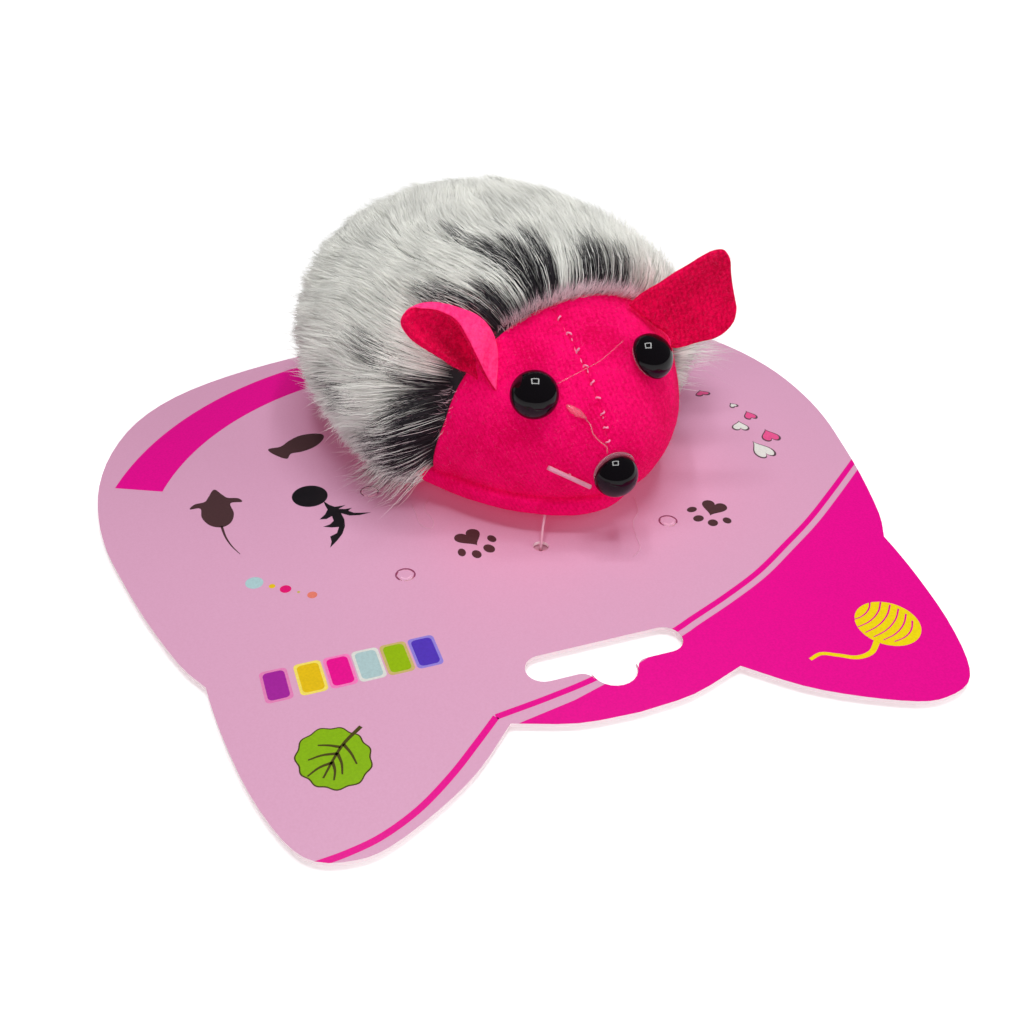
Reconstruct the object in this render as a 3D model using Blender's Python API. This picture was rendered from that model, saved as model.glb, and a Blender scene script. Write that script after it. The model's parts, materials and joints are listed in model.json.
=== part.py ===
"""Plush mouse cat toy, held by three plastic tag pins on its die-cut backing card.

Run with: blender --background --python part.py

The card lies flat with its hang slot towards -Y. The mouse stands on it with its nose
towards the slot, turned a little. All lengths are metres; every size below is written in
millimetres times mm. The world's origin is the middle of the bounding box, on the surface
that the paddles of the tag pins stand on.
"""
import bpy
import bmesh
from math import asin, cos, hypot, pi, radians, sin, sqrt, tau
from mathutils import Matrix, Vector

for old in list(bpy.data.objects):
    bpy.data.objects.remove(old, do_unlink=True)

mm = 0.001

# Clearances
gap = 0.3 * mm
overrun = 2.0 * mm
almost_whole_share = 0.999

# Backing card, a cat's head in outline, measured from the middle of its hang slot
card_thickness = 0.8 * mm
card_half_width = 87.5 * mm
card_far_reach = 132.5 * mm
card_ear_reach = 30.0 * mm

# Hang slot
slot_length = 32.0 * mm
slot_height = 6.9 * mm
slot_hump_width = 9.0 * mm
slot_hump_reach = 8.6 * mm
slot_fillet = 2.4 * mm

# Punched holes and the perforated discs that are still in place
pin_hole_diameter = 3.35 * mm
front_hole_y = 34.2 * mm
rear_hole_y = 98.0 * mm
rear_hole_spacing = 40.0 * mm
disc_row_y = (33.9 * mm, 64.4 * mm)
disc_spacing = 59.5 * mm
disc_cut_width = 0.3 * mm
disc_nicks = 3
disc_nick_angle = radians(16)

# Place of the mouse on the card, measured from the middle of the hang slot
toy_x = 4.9 * mm
toy_y = 93.9 * mm
toy_turn = radians(11.6)

# Stuffed form: an egg, longer in front, whose widest level lies above the card
egg_half_width = 37.6 * mm
egg_nose_reach = 60.6 * mm
egg_rear_reach = 36.0 * mm
egg_half_height = 32.4 * mm
egg_middle_height = 17.8 * mm
egg_shift = 2.0 * mm
collar_y = -36.0 * mm
seam_x = -3.8 * mm

# Felt, and the fur whose brushed-out pile fills a rounder form than the skin under it
felt_thickness = 1.3 * mm
fur_half_width = 46.6 * mm
fur_half_length = 56.8 * mm
fur_half_height = 33.5 * mm
fur_middle_y = -11.4 * mm
fur_middle_height = 23.0 * mm
fur_least_pile = 2.5 * mm
fur_rise_length = 12.0 * mm
fur_hem_height = 6.3 * mm
fur_hang_height = 2.0 * mm

# Sole, whose rim stands proud as a lip under the snout
sole_flat_share = 0.6
sole_inner_share = 0.35
sole_climb_shares = (0.75, 0.88, 0.95)
sole_edge_rear = 4.0 * mm
sole_edge_front = 5.0 * mm
lip_proud = 1.7 * mm
lip_bulge = 0.4 * mm
lip_middle_angle = radians(-18)
lip_half_angle = radians(18)
lip_end_angle = radians(36)
crease_height = 8.8 * mm

# Eyes and nose: black half beads on pads of clear glue
eye_diameter = 10.0 * mm
eye_height = 4.6 * mm
eye_left_x = 12.0 * mm
eye_left_level = 33.6 * mm
eye_right_x = -14.0 * mm
eye_right_level = 31.5 * mm
nose_diameter = 9.5 * mm
nose_height = 4.8 * mm
nose_x = -1.8 * mm
nose_level = 16.2 * mm
bead_edge = 0.5 * mm
glue_thickness = 0.5 * mm
glue_inset = 0.6 * mm
nose_glue_proud = 0.6 * mm

# Ears: felt flaps sewn to the head along a short root line
ear_length = 21.8 * mm
ear_width = 19.0 * mm
ear_thickness = 1.5 * mm
ear_stand_off = 1.5 * mm
ear_settle_share = 0.3

# How each ear was sewn on: the ends of its root line, the way it points, its back and its cup, and how
# far it spreads and droops
ear_left_top_x = 11.7 * mm
ear_left_top_level = 41.9 * mm
ear_left_low_x = 19.9 * mm
ear_left_low_level = 34.2 * mm
ear_left_out = (0.95, -0.20, 0.24)
ear_left_back = (0.225, 0.97, -0.075)
ear_left_cup = 2.0 * mm
ear_left_spread_share = 1.0
ear_left_droop_share = 1.0
ear_right_top_x = -15.1 * mm
ear_right_top_level = 38.8 * mm
ear_right_low_x = -20.6 * mm
ear_right_low_level = 31.2 * mm
ear_right_out = (-0.80, 0.10, 0.60)
ear_right_back = (-0.02, 0.98, -0.19)
ear_right_cup = 7.5 * mm
ear_right_spread_share = 0.55
ear_right_droop_share = 0.0

# Tail: a strip of the same felt, sewn on under the rear of the sole's seam
tail_length = 68.0 * mm
tail_root_width = 7.0 * mm
tail_tip_width = 4.0 * mm
tail_thickness = 2.2 * mm
tail_edge_share = 0.6
tail_tip_round_share = 0.35
tail_root_turns = (radians(75), radians(40))
tail_bend = 14.0 * mm
tail_settle_length = 20.0 * mm
tail_side_room = 1.6 * mm
tail_notch_height = 15.0 * mm
tail_floor_room = 0.3 * mm

# Tag pins: a T-bar, a thin filament and a paddle under the card
filament_diameter = 0.6 * mm
bar_length = 10.4 * mm
bar_diameter = 1.0 * mm
paddle_length = 6.0 * mm
paddle_width = 4.0 * mm
paddle_thickness = 0.8 * mm
pin_bore_room = 0.35 * mm
bar_x = -10.4 * mm
bar_level = 16.0 * mm
bar_tilt = radians(-30)
chin_entry_x = -13.2 * mm
chin_entry_y = -53.2 * mm
rear_bar_level = 7.0 * mm

# Sewing thread
thread_diameter = 0.45 * mm
face_stitches = 8
face_stitch_width = 1.6 * mm
face_stitch_slopes = (radians(50), radians(12))
collar_stitches = 26
collar_stitch_width = 1.0 * mm

# Mesh fineness
around = 56
egg_levels = 12
bead_sides = 24
bead_levels = 6
glue_sides = 20
smooth_angle = radians(40)

# Levels, from the surface that the paddles stand on
card_bottom = paddle_thickness + gap
card_top = card_bottom + card_thickness


def material(name, colour, roughness, metallic=0.0):
    """A Principled material in one colour."""
    made = bpy.data.materials.new(name)
    made.use_nodes = True
    shader = made.node_tree.nodes["Principled BSDF"]
    shader.inputs["Base Color"].default_value = (*colour, 1)
    shader.inputs["Roughness"].default_value = roughness
    shader.inputs["Metallic"].default_value = metallic
    return made


printed_card = material("printed_card", (0.71, 0.36, 0.53), 0.45)
pink_felt = material("pink_felt", (0.88, 0.005, 0.15), 0.95)
red_felt = material("red_felt", (0.67, 0.003, 0.06), 0.95)
silver_fur = material("silver_fur", (0.55, 0.54, 0.51), 0.8)
fibre_fill = material("fibre_fill", (0.85, 0.85, 0.83), 0.95)
black_bead = material("black_bead", (0.006, 0.005, 0.007), 0.12)
clear_glue = material("clear_glue", (0.85, 0.7, 0.75), 0.2)
pin_plastic = material("pin_plastic", (0.85, 0.75, 0.8), 0.35)
pale_thread = material("pale_thread", (0.85, 0.3, 0.5), 0.8)


def frame_empty(name, place, turn, parent=None):
    """An empty that carries a sub-assembly."""
    empty = bpy.data.objects.new(name, None)
    empty.location = place
    empty.rotation_euler = (0, 0, turn)
    empty.parent = parent
    bpy.context.scene.collection.objects.link(empty)
    return empty


card_frame = frame_empty("card_frame", (0, 0, card_top), 0)
toy_frame = frame_empty("toy_frame", (toy_x, toy_y, 0), toy_turn, card_frame)


def mesh_object(name, verts, faces, finish, parent, matrix=None):
    """An object whose one closed mesh has its faces pointing out."""
    mesh = bpy.data.meshes.new(name)
    mesh.from_pydata([tuple(v) for v in verts], [], faces)
    bm = bmesh.new()
    bm.from_mesh(mesh)
    bmesh.ops.recalc_face_normals(bm, faces=bm.faces)
    bm.to_mesh(mesh)
    bm.free()
    mesh.shade_smooth()
    mesh.set_sharp_from_angle(angle=smooth_angle)
    made = bpy.data.objects.new(name, mesh)
    if finish:
        mesh.materials.append(finish)
    made.parent = parent
    if matrix:
        made.matrix_local = matrix
    bpy.context.scene.collection.objects.link(made)
    return made


def as_cutter(tool):
    """Marks an object as a tool that shapes others and isn't a piece itself."""
    tool.hide_render = True
    tool.display_type = "WIRE"
    return tool


def shape_with(piece, tool, operation):
    """Adds a Boolean by a tool to a piece."""
    step = piece.modifiers.new(tool.name, "BOOLEAN")
    step.operation = operation
    step.solver = "EXACT"
    step.object = as_cutter(tool)


def loft(rings, start=None, end=None):
    """Verts and faces of rings of equal count, closed by a point or a flat face at each end."""
    count = len(rings[0])
    verts = [v for ring in rings for v in ring]
    faces = []
    for level in range(len(rings) - 1):
        for i in range(count):
            j = (i + 1) % count
            low, high = level * count, (level + 1) * count
            faces.append((low + i, low + j, high + j, high + i))
    last = (len(rings) - 1) * count
    for first, tip in ((0, start), (last, end)):
        if tip is None:
            faces.append(tuple(range(first, first + count)))
            continue
        verts.append(tip)
        for i in range(count):
            faces.append((first + i, first + (i + 1) % count, len(verts) - 1))
    return verts, faces


def box_between(name, low, high, parent):
    """A cutter box between two corners."""
    corners = [(x, y, z) for x in (low[0], high[0]) for y in (low[1], high[1]) for z in (low[2], high[2])]
    faces = [(0, 1, 3, 2), (4, 6, 7, 5), (0, 4, 5, 1), (2, 3, 7, 6), (0, 2, 6, 4), (1, 5, 7, 3)]
    return mesh_object(name, corners, faces, None, parent)


def tube(name, path, diameter, sides, finish, parent):
    """A round tube along points, with flat ends."""
    points = [Vector(p) for p in path]
    count = len(points)
    side = None
    rings = []
    for i, point in enumerate(points):
        before = points[max(0, i - 1)]
        after = points[min(count - 1, i + 1)]
        along = (after - before).normalized()
        if side is None:
            side = along.orthogonal().normalized()
        side = (side - along * side.dot(along)).normalized()
        across = along.cross(side)
        rings.append([point + (side * cos(tau * k / sides) + across * sin(tau * k / sides)) * diameter / 2
                      for k in range(sides)])
    verts, faces = loft(rings)
    return mesh_object(name, verts, faces, finish, parent)


def smooth_path(corners, per_span):
    """Points of a Catmull-Rom curve through the given corners."""
    held = [Vector(c) for c in corners]
    ends = [held[0] * 2 - held[1]] + held + [held[-1] * 2 - held[-2]]
    out = []
    for a, b, c, d in zip(ends, ends[1:], ends[2:], ends[3:]):
        for k in range(per_span):
            t = k / per_span
            out.append(((b * 2) + (c - a) * t + (a * 2 - b * 5 + c * 4 - d) * t * t
                        + (b * 3 - a - c * 3 + d) * t ** 3) / 2)
    out.append(held[-1])
    return out


def ease(t):
    """Smooth step from 0 to 1."""
    t = min(1, max(0, t))
    return t * t * (3 - 2 * t)


# Backing card

def rounded_outline(corners, steps=6):
    """A flat outline whose corners (x, y, radius) are rounded by arcs."""
    out = []
    count = len(corners)
    for i, (x, y, radius) in enumerate(corners):
        here = Vector((x, y))
        back = Vector(corners[i - 1][:2]) - here
        forth = Vector(corners[(i + 1) % count][:2]) - here
        a, b = back.normalized(), forth.normalized()
        half = a.angle(b) / 2
        reach = radius * cos(half) / sin(half)
        middle = here + (a + b).normalized() * radius / sin(half)
        start = here + a * reach - middle
        turn = start.angle_signed(here + b * reach - middle)
        for k in range(steps + 1):
            spot = start.copy()
            spot.rotate(Matrix.Rotation(-turn * k / steps, 2))
            out.append((middle.x + spot.x, middle.y + spot.y))
    return out


def card_outline():
    """The card's edge: middle arc, ear, cheek and crown, drawn once and mirrored."""
    arc_shares = ((0.0, -0.522), (0.13, -0.49), (0.262, -0.365))
    ear_shares = ((0.262, -0.365), (0.36, -0.64), (0.46, -0.83), (0.565, -0.975), (0.63, -1.0),
                  (0.70, -0.94), (0.745, -0.76), (0.785, -0.40), (0.81, 0.0), (0.822, 0.30), (0.826, 0.48))
    cheek_shares = ((0.826, 0.109), (0.87, 0.165), (0.925, 0.275), (0.965, 0.38), (0.99, 0.46), (1.0, 0.545),
                    (0.99, 0.64), (0.95, 0.735), (0.875, 0.825), (0.76, 0.895), (0.60, 0.945), (0.40, 0.98),
                    (0.20, 0.995), (0.0, 1.0))
    near = [(x * card_half_width, y * card_ear_reach) for x, y in arc_shares]
    ear = [(x * card_half_width, y * card_ear_reach) for x, y in ear_shares]
    cheek = [(x * card_half_width, y * card_far_reach) for x, y in cheek_shares]
    half = []
    for stretch in (near, ear, cheek):
        half += [tuple(p[:2]) for p in smooth_path([(x, y, 0) for x, y in stretch], 3)][:-1]
    half.append((0, card_far_reach))
    return half + [(-x, y) for x, y in reversed(half[1:-1])]


def slot_outline():
    """The hang slot: a long round-ended slot with a hump towards the card's ears."""
    end_radius = slot_height / 2 * almost_whole_share
    hump_radius = slot_hump_width / 2 * almost_whole_share
    left, right = -slot_length / 2, slot_length / 2
    low, high = -slot_height / 2, slot_height / 2
    hump = slot_hump_width / 2
    return rounded_outline([(left, high, end_radius), (left, low, end_radius), (-hump, low, slot_fillet),
                            (-hump, -slot_hump_reach, hump_radius), (hump, -slot_hump_reach, hump_radius),
                            (hump, low, slot_fillet), (right, low, end_radius), (right, high, end_radius)])


def prism(name, outline, low, high, finish, parent):
    """A flat outline pulled up between two levels."""
    verts, faces = loft([[(x, y, z) for x, y in outline] for z in (low, high)])
    return mesh_object(name, verts, faces, finish, parent)


def round_outline(x, y, diameter, steps=24):
    """A circle's points."""
    return [(x + diameter / 2 * cos(tau * k / steps), y + diameter / 2 * sin(tau * k / steps))
            for k in range(steps)]


def disc_cuts(x, y):
    """Outlines of the curved cuts round one perforated disc, which leave its nicks whole."""
    inner = pin_hole_diameter / 2
    outer = inner + disc_cut_width
    span = tau / disc_nicks - disc_nick_angle
    cuts = []
    for nick in range(disc_nicks):
        start = tau * nick / disc_nicks + disc_nick_angle / 2
        angles = [start + span * k / 7 for k in range(8)]
        cuts.append([(x + outer * cos(a), y + outer * sin(a)) for a in angles]
                    + [(x + inner * cos(a), y + inner * sin(a)) for a in reversed(angles)])
    return cuts


def joined_prisms(name, outlines, low, high, parent):
    """One cutter made of many separate prisms."""
    verts, faces = [], []
    for outline in outlines:
        more_verts, more_faces = loft([[(x, y, z) for x, y in outline] for z in (low, high)])
        faces += [tuple(len(verts) + i for i in face) for face in more_faces]
        verts += more_verts
    return mesh_object(name, verts, faces, None, parent)


pin_spots = {
    "front_tag_pin": (0, front_hole_y),
    "rear_tag_pin_left": (rear_hole_spacing / 2, rear_hole_y),
    "rear_tag_pin_right": (-rear_hole_spacing / 2, rear_hole_y),
}


def make_card():
    """The printed card with its slot, pin holes and perforated discs."""
    card = prism("backing_card", card_outline(), -card_thickness, 0, printed_card, card_frame)
    openings = [slot_outline()]
    openings += [round_outline(x, y, pin_hole_diameter) for x, y in pin_spots.values()]
    for y in disc_row_y:
        for x in (-disc_spacing / 2, disc_spacing / 2):
            openings += disc_cuts(x, y)
    cutter = joined_prisms("card_cutter", openings, -card_thickness - overrun, overrun, card_frame)
    shape_with(card, cutter, "DIFFERENCE")


make_card()


# Stuffed egg

def egg_point(angle, height, inset):
    """A point on the egg, inset or (below zero) outset, at an angle from the nose and a height."""
    rise = (height - egg_middle_height) / (egg_half_height - inset)
    share = sqrt(max(0, 1 - rise * rise))
    reach = egg_nose_reach if cos(angle) > 0 else egg_rear_reach
    return Vector((egg_shift + (egg_half_width - inset) * share * sin(angle),
                   -(reach - inset) * share * cos(angle), height))


def egg_front(x, height, lift=0.0):
    """The point of the skin in front at x and a height, and the skin's direction there."""
    across = (x - egg_shift) / egg_half_width
    rise = (height - egg_middle_height) / egg_half_height
    ahead = -sqrt(1 - across * across - rise * rise)
    facing = Vector((across / egg_half_width, ahead / egg_nose_reach, rise / egg_half_height)).normalized()
    return Vector((x, ahead * egg_nose_reach, height)) + facing * lift, facing


def egg_section(y, turn, lift=0.0):
    """The point of the skin where it crosses a plane y, at a turn about the plane's middle."""
    share = sqrt(1 - (y / egg_nose_reach) ** 2)
    across = (egg_half_width * share + lift) * cos(turn)
    return Vector((egg_shift + across, y, egg_middle_height + (egg_half_height * share + lift) * sin(turn)))


def angles():
    """The angles of a ring's points, from the nose round by the left side."""
    return [tau * k / around for k in range(around)]


def egg_rings(base_height, inset):
    """Rings up the egg from a height, which may be a function of the angle, to just under its top."""
    rings = []
    tall = egg_half_height - inset
    for level in range(egg_levels):
        ring = []
        for angle in angles():
            low = base_height(angle) if callable(base_height) else base_height
            start = asin((low - egg_middle_height) / tall)
            slope = start + (pi / 2 - start) * level / egg_levels
            ring.append(egg_point(angle, egg_middle_height + tall * sin(slope), inset))
        rings.append(ring)
    return rings, Vector((egg_shift, 0, egg_middle_height + tall))


def bell(name, outer, outer_top, inner, inner_top, finish):
    """A shell like a bell: outer rings, inner rings and the rim between them."""
    rings = list(reversed(outer)) + inner
    verts, faces = loft(rings, outer_top, inner_top)
    return mesh_object(name, verts, faces, finish, toy_frame)


def clear_of_skin(spot, pile):
    """The spot, moved level and away from the middle until the skin is a pile's length behind it."""
    level = max(spot.z, fur_hem_height)
    reach = egg_nose_reach if spot.y < 0 else egg_rear_reach
    rise = (level - egg_middle_height) / (egg_half_height + pile)
    share = sqrt(max(0, 1 - rise * rise))
    fill = hypot((spot.x - egg_shift) / (egg_half_width + pile), spot.y / (reach + pile))
    if fill >= share:
        return spot
    return Vector((egg_shift + (spot.x - egg_shift) * share / fill, spot.y * share / fill, spot.z))


def fur_point(angle, height):
    """A point on the pile's outside, which starts at the skin along the collar."""
    share = sqrt(1 - ((height - fur_middle_height) / fur_half_height) ** 2)
    y = fur_middle_y - fur_half_length * share * cos(angle)
    pile = Vector((fur_half_width * share * sin(angle), y, height))
    away = y - collar_y if y > collar_y else collar_y - fur_rise_length / 2 - y
    grown = ease(away / fur_rise_length)
    if grown < 1:
        girth = sqrt(1 - ((y - fur_middle_y) / fur_half_length) ** 2)
        skin = sqrt(max(0, 1 - (y / egg_nose_reach) ** 2))
        across = pile.x / (fur_half_width * girth) * egg_half_width * skin
        rise = (height - fur_middle_height) / (fur_half_height * girth) * egg_half_height * skin
        level = max(fur_hang_height, egg_middle_height + rise)
        pile = Vector((egg_shift + across, y, level)).lerp(pile, grown)
    return clear_of_skin(pile, fur_least_pile * grown)


def fur_rings():
    """Rings up the pile, from where it hangs to just under its top."""
    start = asin((fur_hang_height - fur_middle_height) / fur_half_height)
    slopes = [start + (pi / 2 - start) * level / egg_levels for level in range(egg_levels)]
    return [[fur_point(angle, fur_middle_height + fur_half_height * sin(slope)) for angle in angles()]
            for slope in slopes]


def make_fur_cover():
    """The fur fabric that covers the body behind the collar, as one open shell."""
    inner, inner_top = egg_rings(fur_hem_height, felt_thickness)
    outer_top = Vector((0, fur_middle_y, fur_middle_height + fur_half_height))
    cover = bell("fur_cover", fur_rings(), outer_top, inner, inner_top, silver_fur)
    far = egg_nose_reach + fur_half_width
    front = box_between("collar_cutter", (-far, -far, -far), (far, collar_y + gap, far), toy_frame)
    shape_with(cover, front, "DIFFERENCE")
    half = tail_root_width / 2 + tail_side_room
    notch = box_between("tail_notch", (-half, tail_root().y - tail_thickness, -overrun),
                        (half, far, tail_notch_height), toy_frame)
    shape_with(cover, notch, "DIFFERENCE")


def lip_share(angle):
    """1 under the snout and its right cheek, 0 along the sides and rear."""
    turned = abs((angle - lip_middle_angle + pi) % tau - pi)
    return 1 - ease((turned - lip_half_angle) / (lip_end_angle - lip_half_angle))


def sole_edge(angle):
    """Height of the sole rim's lower edge."""
    return sole_edge_rear + (sole_edge_front - sole_edge_rear) * lip_share(angle)


def panel_hem(angle):
    """Height of the lower edge of the face panels, which runs on into the fur's hem."""
    return fur_hem_height + (crease_height - fur_hem_height) * lip_share(angle)


def rim_top(angle):
    """Height of the sole rim's top."""
    return panel_hem(angle) - gap


def make_face_panels():
    """Two felt panels that meet in a seam over the top of the head."""
    outer, outer_top = egg_rings(panel_hem, 0)
    inner, inner_top = egg_rings(panel_hem, felt_thickness)
    far = egg_nose_reach + overrun
    sides = (("face_panel_left", seam_x + gap / 2, far), ("face_panel_right", -far, seam_x - gap / 2))
    for name, low_x, high_x in sides:
        panel = bell(name, outer, outer_top, inner, inner_top, pink_felt)
        keep = box_between(name + "_keep", (low_x, -far, 0), (high_x, collar_y, far), toy_frame)
        shape_with(panel, keep, "INTERSECT")
    return bpy.data.objects["face_panel_right"]


# Sole: a felt dish whose rim stands proud as a lip under the snout

def rim_point(angle, inset, height):
    """A point on the rim's outline, inset from it."""
    tucked = felt_thickness + lip_bulge + gap
    outset = -tucked + (lip_proud + tucked) * lip_share(angle)
    spot = egg_point(angle, rim_top(angle), 0)
    across = (spot.x - egg_shift) / egg_half_width
    out = Vector((across / egg_half_width, spot.y / egg_nose_reach ** 2, 0)).normalized()
    flat = spot + out * (outset - inset)
    return Vector((flat.x, flat.y, height))


def dish_ring(share, inset, lift):
    """A ring of the dish at a share of the way out to its rim."""
    ring = []
    for angle in angles():
        edge = rim_point(angle, inset, 0)
        climb = ease((share - sole_flat_share) / (1 - sole_flat_share)) ** 2
        height = gap + (sole_edge(angle) - gap) * climb + lift
        ring.append(Vector((egg_shift + (edge.x - egg_shift) * share, edge.y * share, height)))
    return ring


dish_shares = (sole_inner_share, sole_flat_share, *sole_climb_shares)


def make_sole():
    """The felt sole under the toy."""
    below = [dish_ring(share, 0, 0) for share in dish_shares]
    rim_low = [rim_point(a, lip_bulge / 2, sole_edge(a)) for a in angles()]
    rim_mid = [rim_point(a, -lip_bulge, (sole_edge(a) + rim_top(a)) / 2) for a in angles()]
    rim_high = [rim_point(a, lip_bulge / 2, rim_top(a)) for a in angles()]
    rim_in = [rim_point(a, felt_thickness, rim_top(a)) for a in angles()]
    rim_in_low = [rim_point(a, felt_thickness, sole_edge(a) + felt_thickness) for a in angles()]
    above = [dish_ring(share, felt_thickness, felt_thickness) for share in reversed(dish_shares)]
    rings = below + [rim_low, rim_mid, rim_high, rim_in, rim_in_low] + above
    verts, faces = loft(rings, Vector((egg_shift, 0, gap)), Vector((egg_shift, 0, gap + felt_thickness)))
    return mesh_object("base_panel", verts, faces, pink_felt, toy_frame)


def make_stuffing():
    """Fibre fill in two wads, one in the head and one in the body."""
    skin_room = felt_thickness + gap
    rim_room = felt_thickness + gap
    shares = dish_shares[:-1]
    low = [dish_ring(share, felt_thickness + rim_room, felt_thickness + gap) for share in shares]
    side = [[rim_point(a, rim_room, sole_edge(a) + felt_thickness + gap) for a in angles()],
            [rim_point(a, rim_room, rim_top(a)) for a in angles()]]
    bottom = Vector((egg_shift, 0, felt_thickness + gap * 2))
    for ring in side:
        for i, angle in enumerate(angles()):
            inner = egg_point(angle, ring[i].z, skin_room)
            if (inner.xy - bottom.xy).length < (ring[i].xy - bottom.xy).length:
                ring[i] = inner
    high, top = egg_rings(lambda a: rim_top(a) + felt_thickness, skin_room)
    verts, faces = loft(low + side + high, bottom, top)
    wads = []
    for name, facing in (("head_stuffing", 1), ("body_stuffing", -1)):
        wad = mesh_object(name, verts, faces, fibre_fill, toy_frame)
        bm = bmesh.new()
        bm.from_mesh(wad.data)
        everything = bm.verts[:] + bm.edges[:] + bm.faces[:]
        bmesh.ops.bisect_plane(bm, geom=everything, plane_co=(0, collar_y - facing * gap / 2, 0),
                               plane_no=(0, facing, 0), clear_outer=True)
        bmesh.ops.holes_fill(bm, edges=[e for e in bm.edges if e.is_boundary], sides=0)
        bmesh.ops.recalc_face_normals(bm, faces=bm.faces)
        bm.to_mesh(wad.data)
        bm.free()
        wad.data.set_sharp_from_angle(angle=smooth_angle)
        wads.append(wad)
    return wads


# Eyes and nose

def facing_matrix(place, facing):
    """A matrix whose Z looks along facing, at a place."""
    side = Vector((0, 0, 1)).cross(facing).normalized()
    up = facing.cross(side)
    turned = Matrix((side, up, facing)).transposed().to_4x4()
    turned.translation = place
    return turned


def turned_rings(profile, sides):
    """Rings round Z through a profile's radii and heights."""
    return [[(r * cos(tau * k / sides), r * sin(tau * k / sides), z) for k in range(sides)]
            for r, z in profile]


def bead(name, diameter, height, place, facing):
    """A round flat-backed bead whose back lies at a place."""
    edge = bead_edge / 2
    profile = [(diameter / 2 - edge, 0), (diameter / 2, edge)]
    for k in range(1, bead_levels):
        slope = pi / 2 * k / bead_levels
        profile.append((diameter / 2 * cos(slope), edge + (height - edge) * sin(slope)))
    rings = turned_rings(profile, bead_sides)
    verts, faces = loft(rings, Vector((0, 0, 0)), Vector((0, 0, height)))
    return mesh_object(name, verts, faces, black_bead, toy_frame, facing_matrix(place, facing))


def glue_pad(name, diameter, place, facing):
    """A thin round pad of glue."""
    edge = glue_thickness / 4
    radius = diameter / 2
    profile = [(radius - edge, 0), (radius, glue_thickness / 2), (radius - edge, glue_thickness)]
    rings = turned_rings(profile, glue_sides)
    verts, faces = loft(rings, Vector((0, 0, 0)), Vector((0, 0, glue_thickness)))
    return mesh_object(name, verts, faces, clear_glue, toy_frame, facing_matrix(place, facing))


def make_eyes_and_nose():
    """Two eyes and a nose, each on its own pad of glue."""
    pad_lift = gap + thread_diameter / 2
    bead_lift = pad_lift + glue_thickness + gap
    for side, x, level in (("left", eye_left_x, eye_left_level), ("right", eye_right_x, eye_right_level)):
        pad_at, facing = egg_front(x, level, pad_lift)
        glue_pad("eye_glue_" + side, eye_diameter - glue_inset, pad_at, facing)
        bead("eye_" + side, eye_diameter, eye_height, egg_front(x, level, bead_lift)[0], facing)
    pad_at, facing = egg_front(nose_x, nose_level, pad_lift)
    up = (Vector((0, 0, 1)) - facing * facing.z).normalized()
    glue_pad("nose_glue", nose_diameter + nose_glue_proud, pad_at + up * nose_glue_proud, facing)
    bead("nose", nose_diameter, nose_height, egg_front(nose_x, nose_level, bead_lift)[0], facing)


# Ears

# Each flap's upper and lower edge at shares of its length, as shares of its width
ear_left_edge_shares = ((0.0, -0.15, 0.275), (0.11, -0.21, 0.40), (0.2, -0.26, 0.50), (0.3, -0.31, 0.555),
                        (0.42, -0.36, 0.575), (0.56, -0.40, 0.585), (0.7, -0.44, 0.60), (0.83, -0.45, 0.57),
                        (0.94, -0.41, 0.50), (1.0, -0.31, 0.40))
ear_right_edge_shares = ((0.0, -0.29, 0.33), (0.11, -0.26, 0.37), (0.2, -0.235, 0.53), (0.3, -0.21, 0.71),
                         (0.42, -0.17, 0.84), (0.56, -0.13, 0.83), (0.7, -0.09, 0.75), (0.83, -0.045, 0.6),
                         (0.92, 0.0, 0.46), (0.98, 0.09, 0.33))


def ear_root(side):
    """The upper and lower end of an ear's root line."""
    if side == "left":
        return (egg_front(ear_left_top_x, ear_left_top_level, ear_stand_off)[0],
                egg_front(ear_left_low_x, ear_left_low_level, ear_stand_off)[0])
    return (egg_front(ear_right_top_x, ear_right_top_level, ear_stand_off)[0],
            egg_front(ear_right_low_x, ear_right_low_level, ear_stand_off)[0])


def make_ear(side, sign, outline, out, back, cup, spread, droop):
    """A cupped felt flap; its origin is the middle of its root line."""
    top, low = ear_root(side)
    root = (low - top).normalized()
    out = Vector(out).normalized()
    back = (Vector(back) - out * out.dot(Vector(back))).normalized()
    down = back.cross(out) * sign
    width_steps = 8
    fronts, backs = [], []
    for share, upper, lower in outline:
        settled = ease(share / ear_settle_share)
        line = root.lerp(down, settled).normalized()
        middle = (upper + lower) / 2 * (1 + (droop - 1) * settled)
        half = (lower - upper) / 2 * (1 + (spread - 1) * settled)
        for j in range(width_steps + 1):
            place = 2 * j / width_steps - 1
            across = line * ear_width * (middle + half * place)
            curl = cup * ((lower - upper) * place) ** 2 * settled
            point = out * ear_length * share + across - back * curl
            fronts.append(point - back * ear_thickness / 2)
            backs.append(point + back * ear_thickness / 2)
    count = width_steps + 1
    length_steps = len(outline) - 1
    shift = len(fronts)
    faces = []
    for i in range(length_steps):
        for j in range(width_steps):
            a, b = i * count + j, i * count + j + 1
            c, d = b + count, a + count
            faces.append((a, b, c, d))
            faces.append((shift + a, shift + d, shift + c, shift + b))
    rim = list(range(count))
    rim += [i * count + width_steps for i in range(1, length_steps + 1)]
    rim += [length_steps * count + j for j in range(width_steps - 1, -1, -1)]
    rim += [i * count for i in range(length_steps - 1, 0, -1)]
    for a, b in zip(rim, rim[1:] + rim[:1]):
        faces.append((a, b, shift + b, shift + a))
    return mesh_object("ear_" + side, fronts + backs, faces, red_felt, toy_frame,
                       Matrix.Translation((top + low) / 2))


# Tail

def tail_root():
    """The middle of the tail's root, just behind the rear of the sole's rim."""
    level = (sole_edge(pi) + rim_top(pi)) / 2
    return rim_point(pi, -lip_bulge, level) + Vector((0, gap + tail_thickness / 2, 0))


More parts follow.
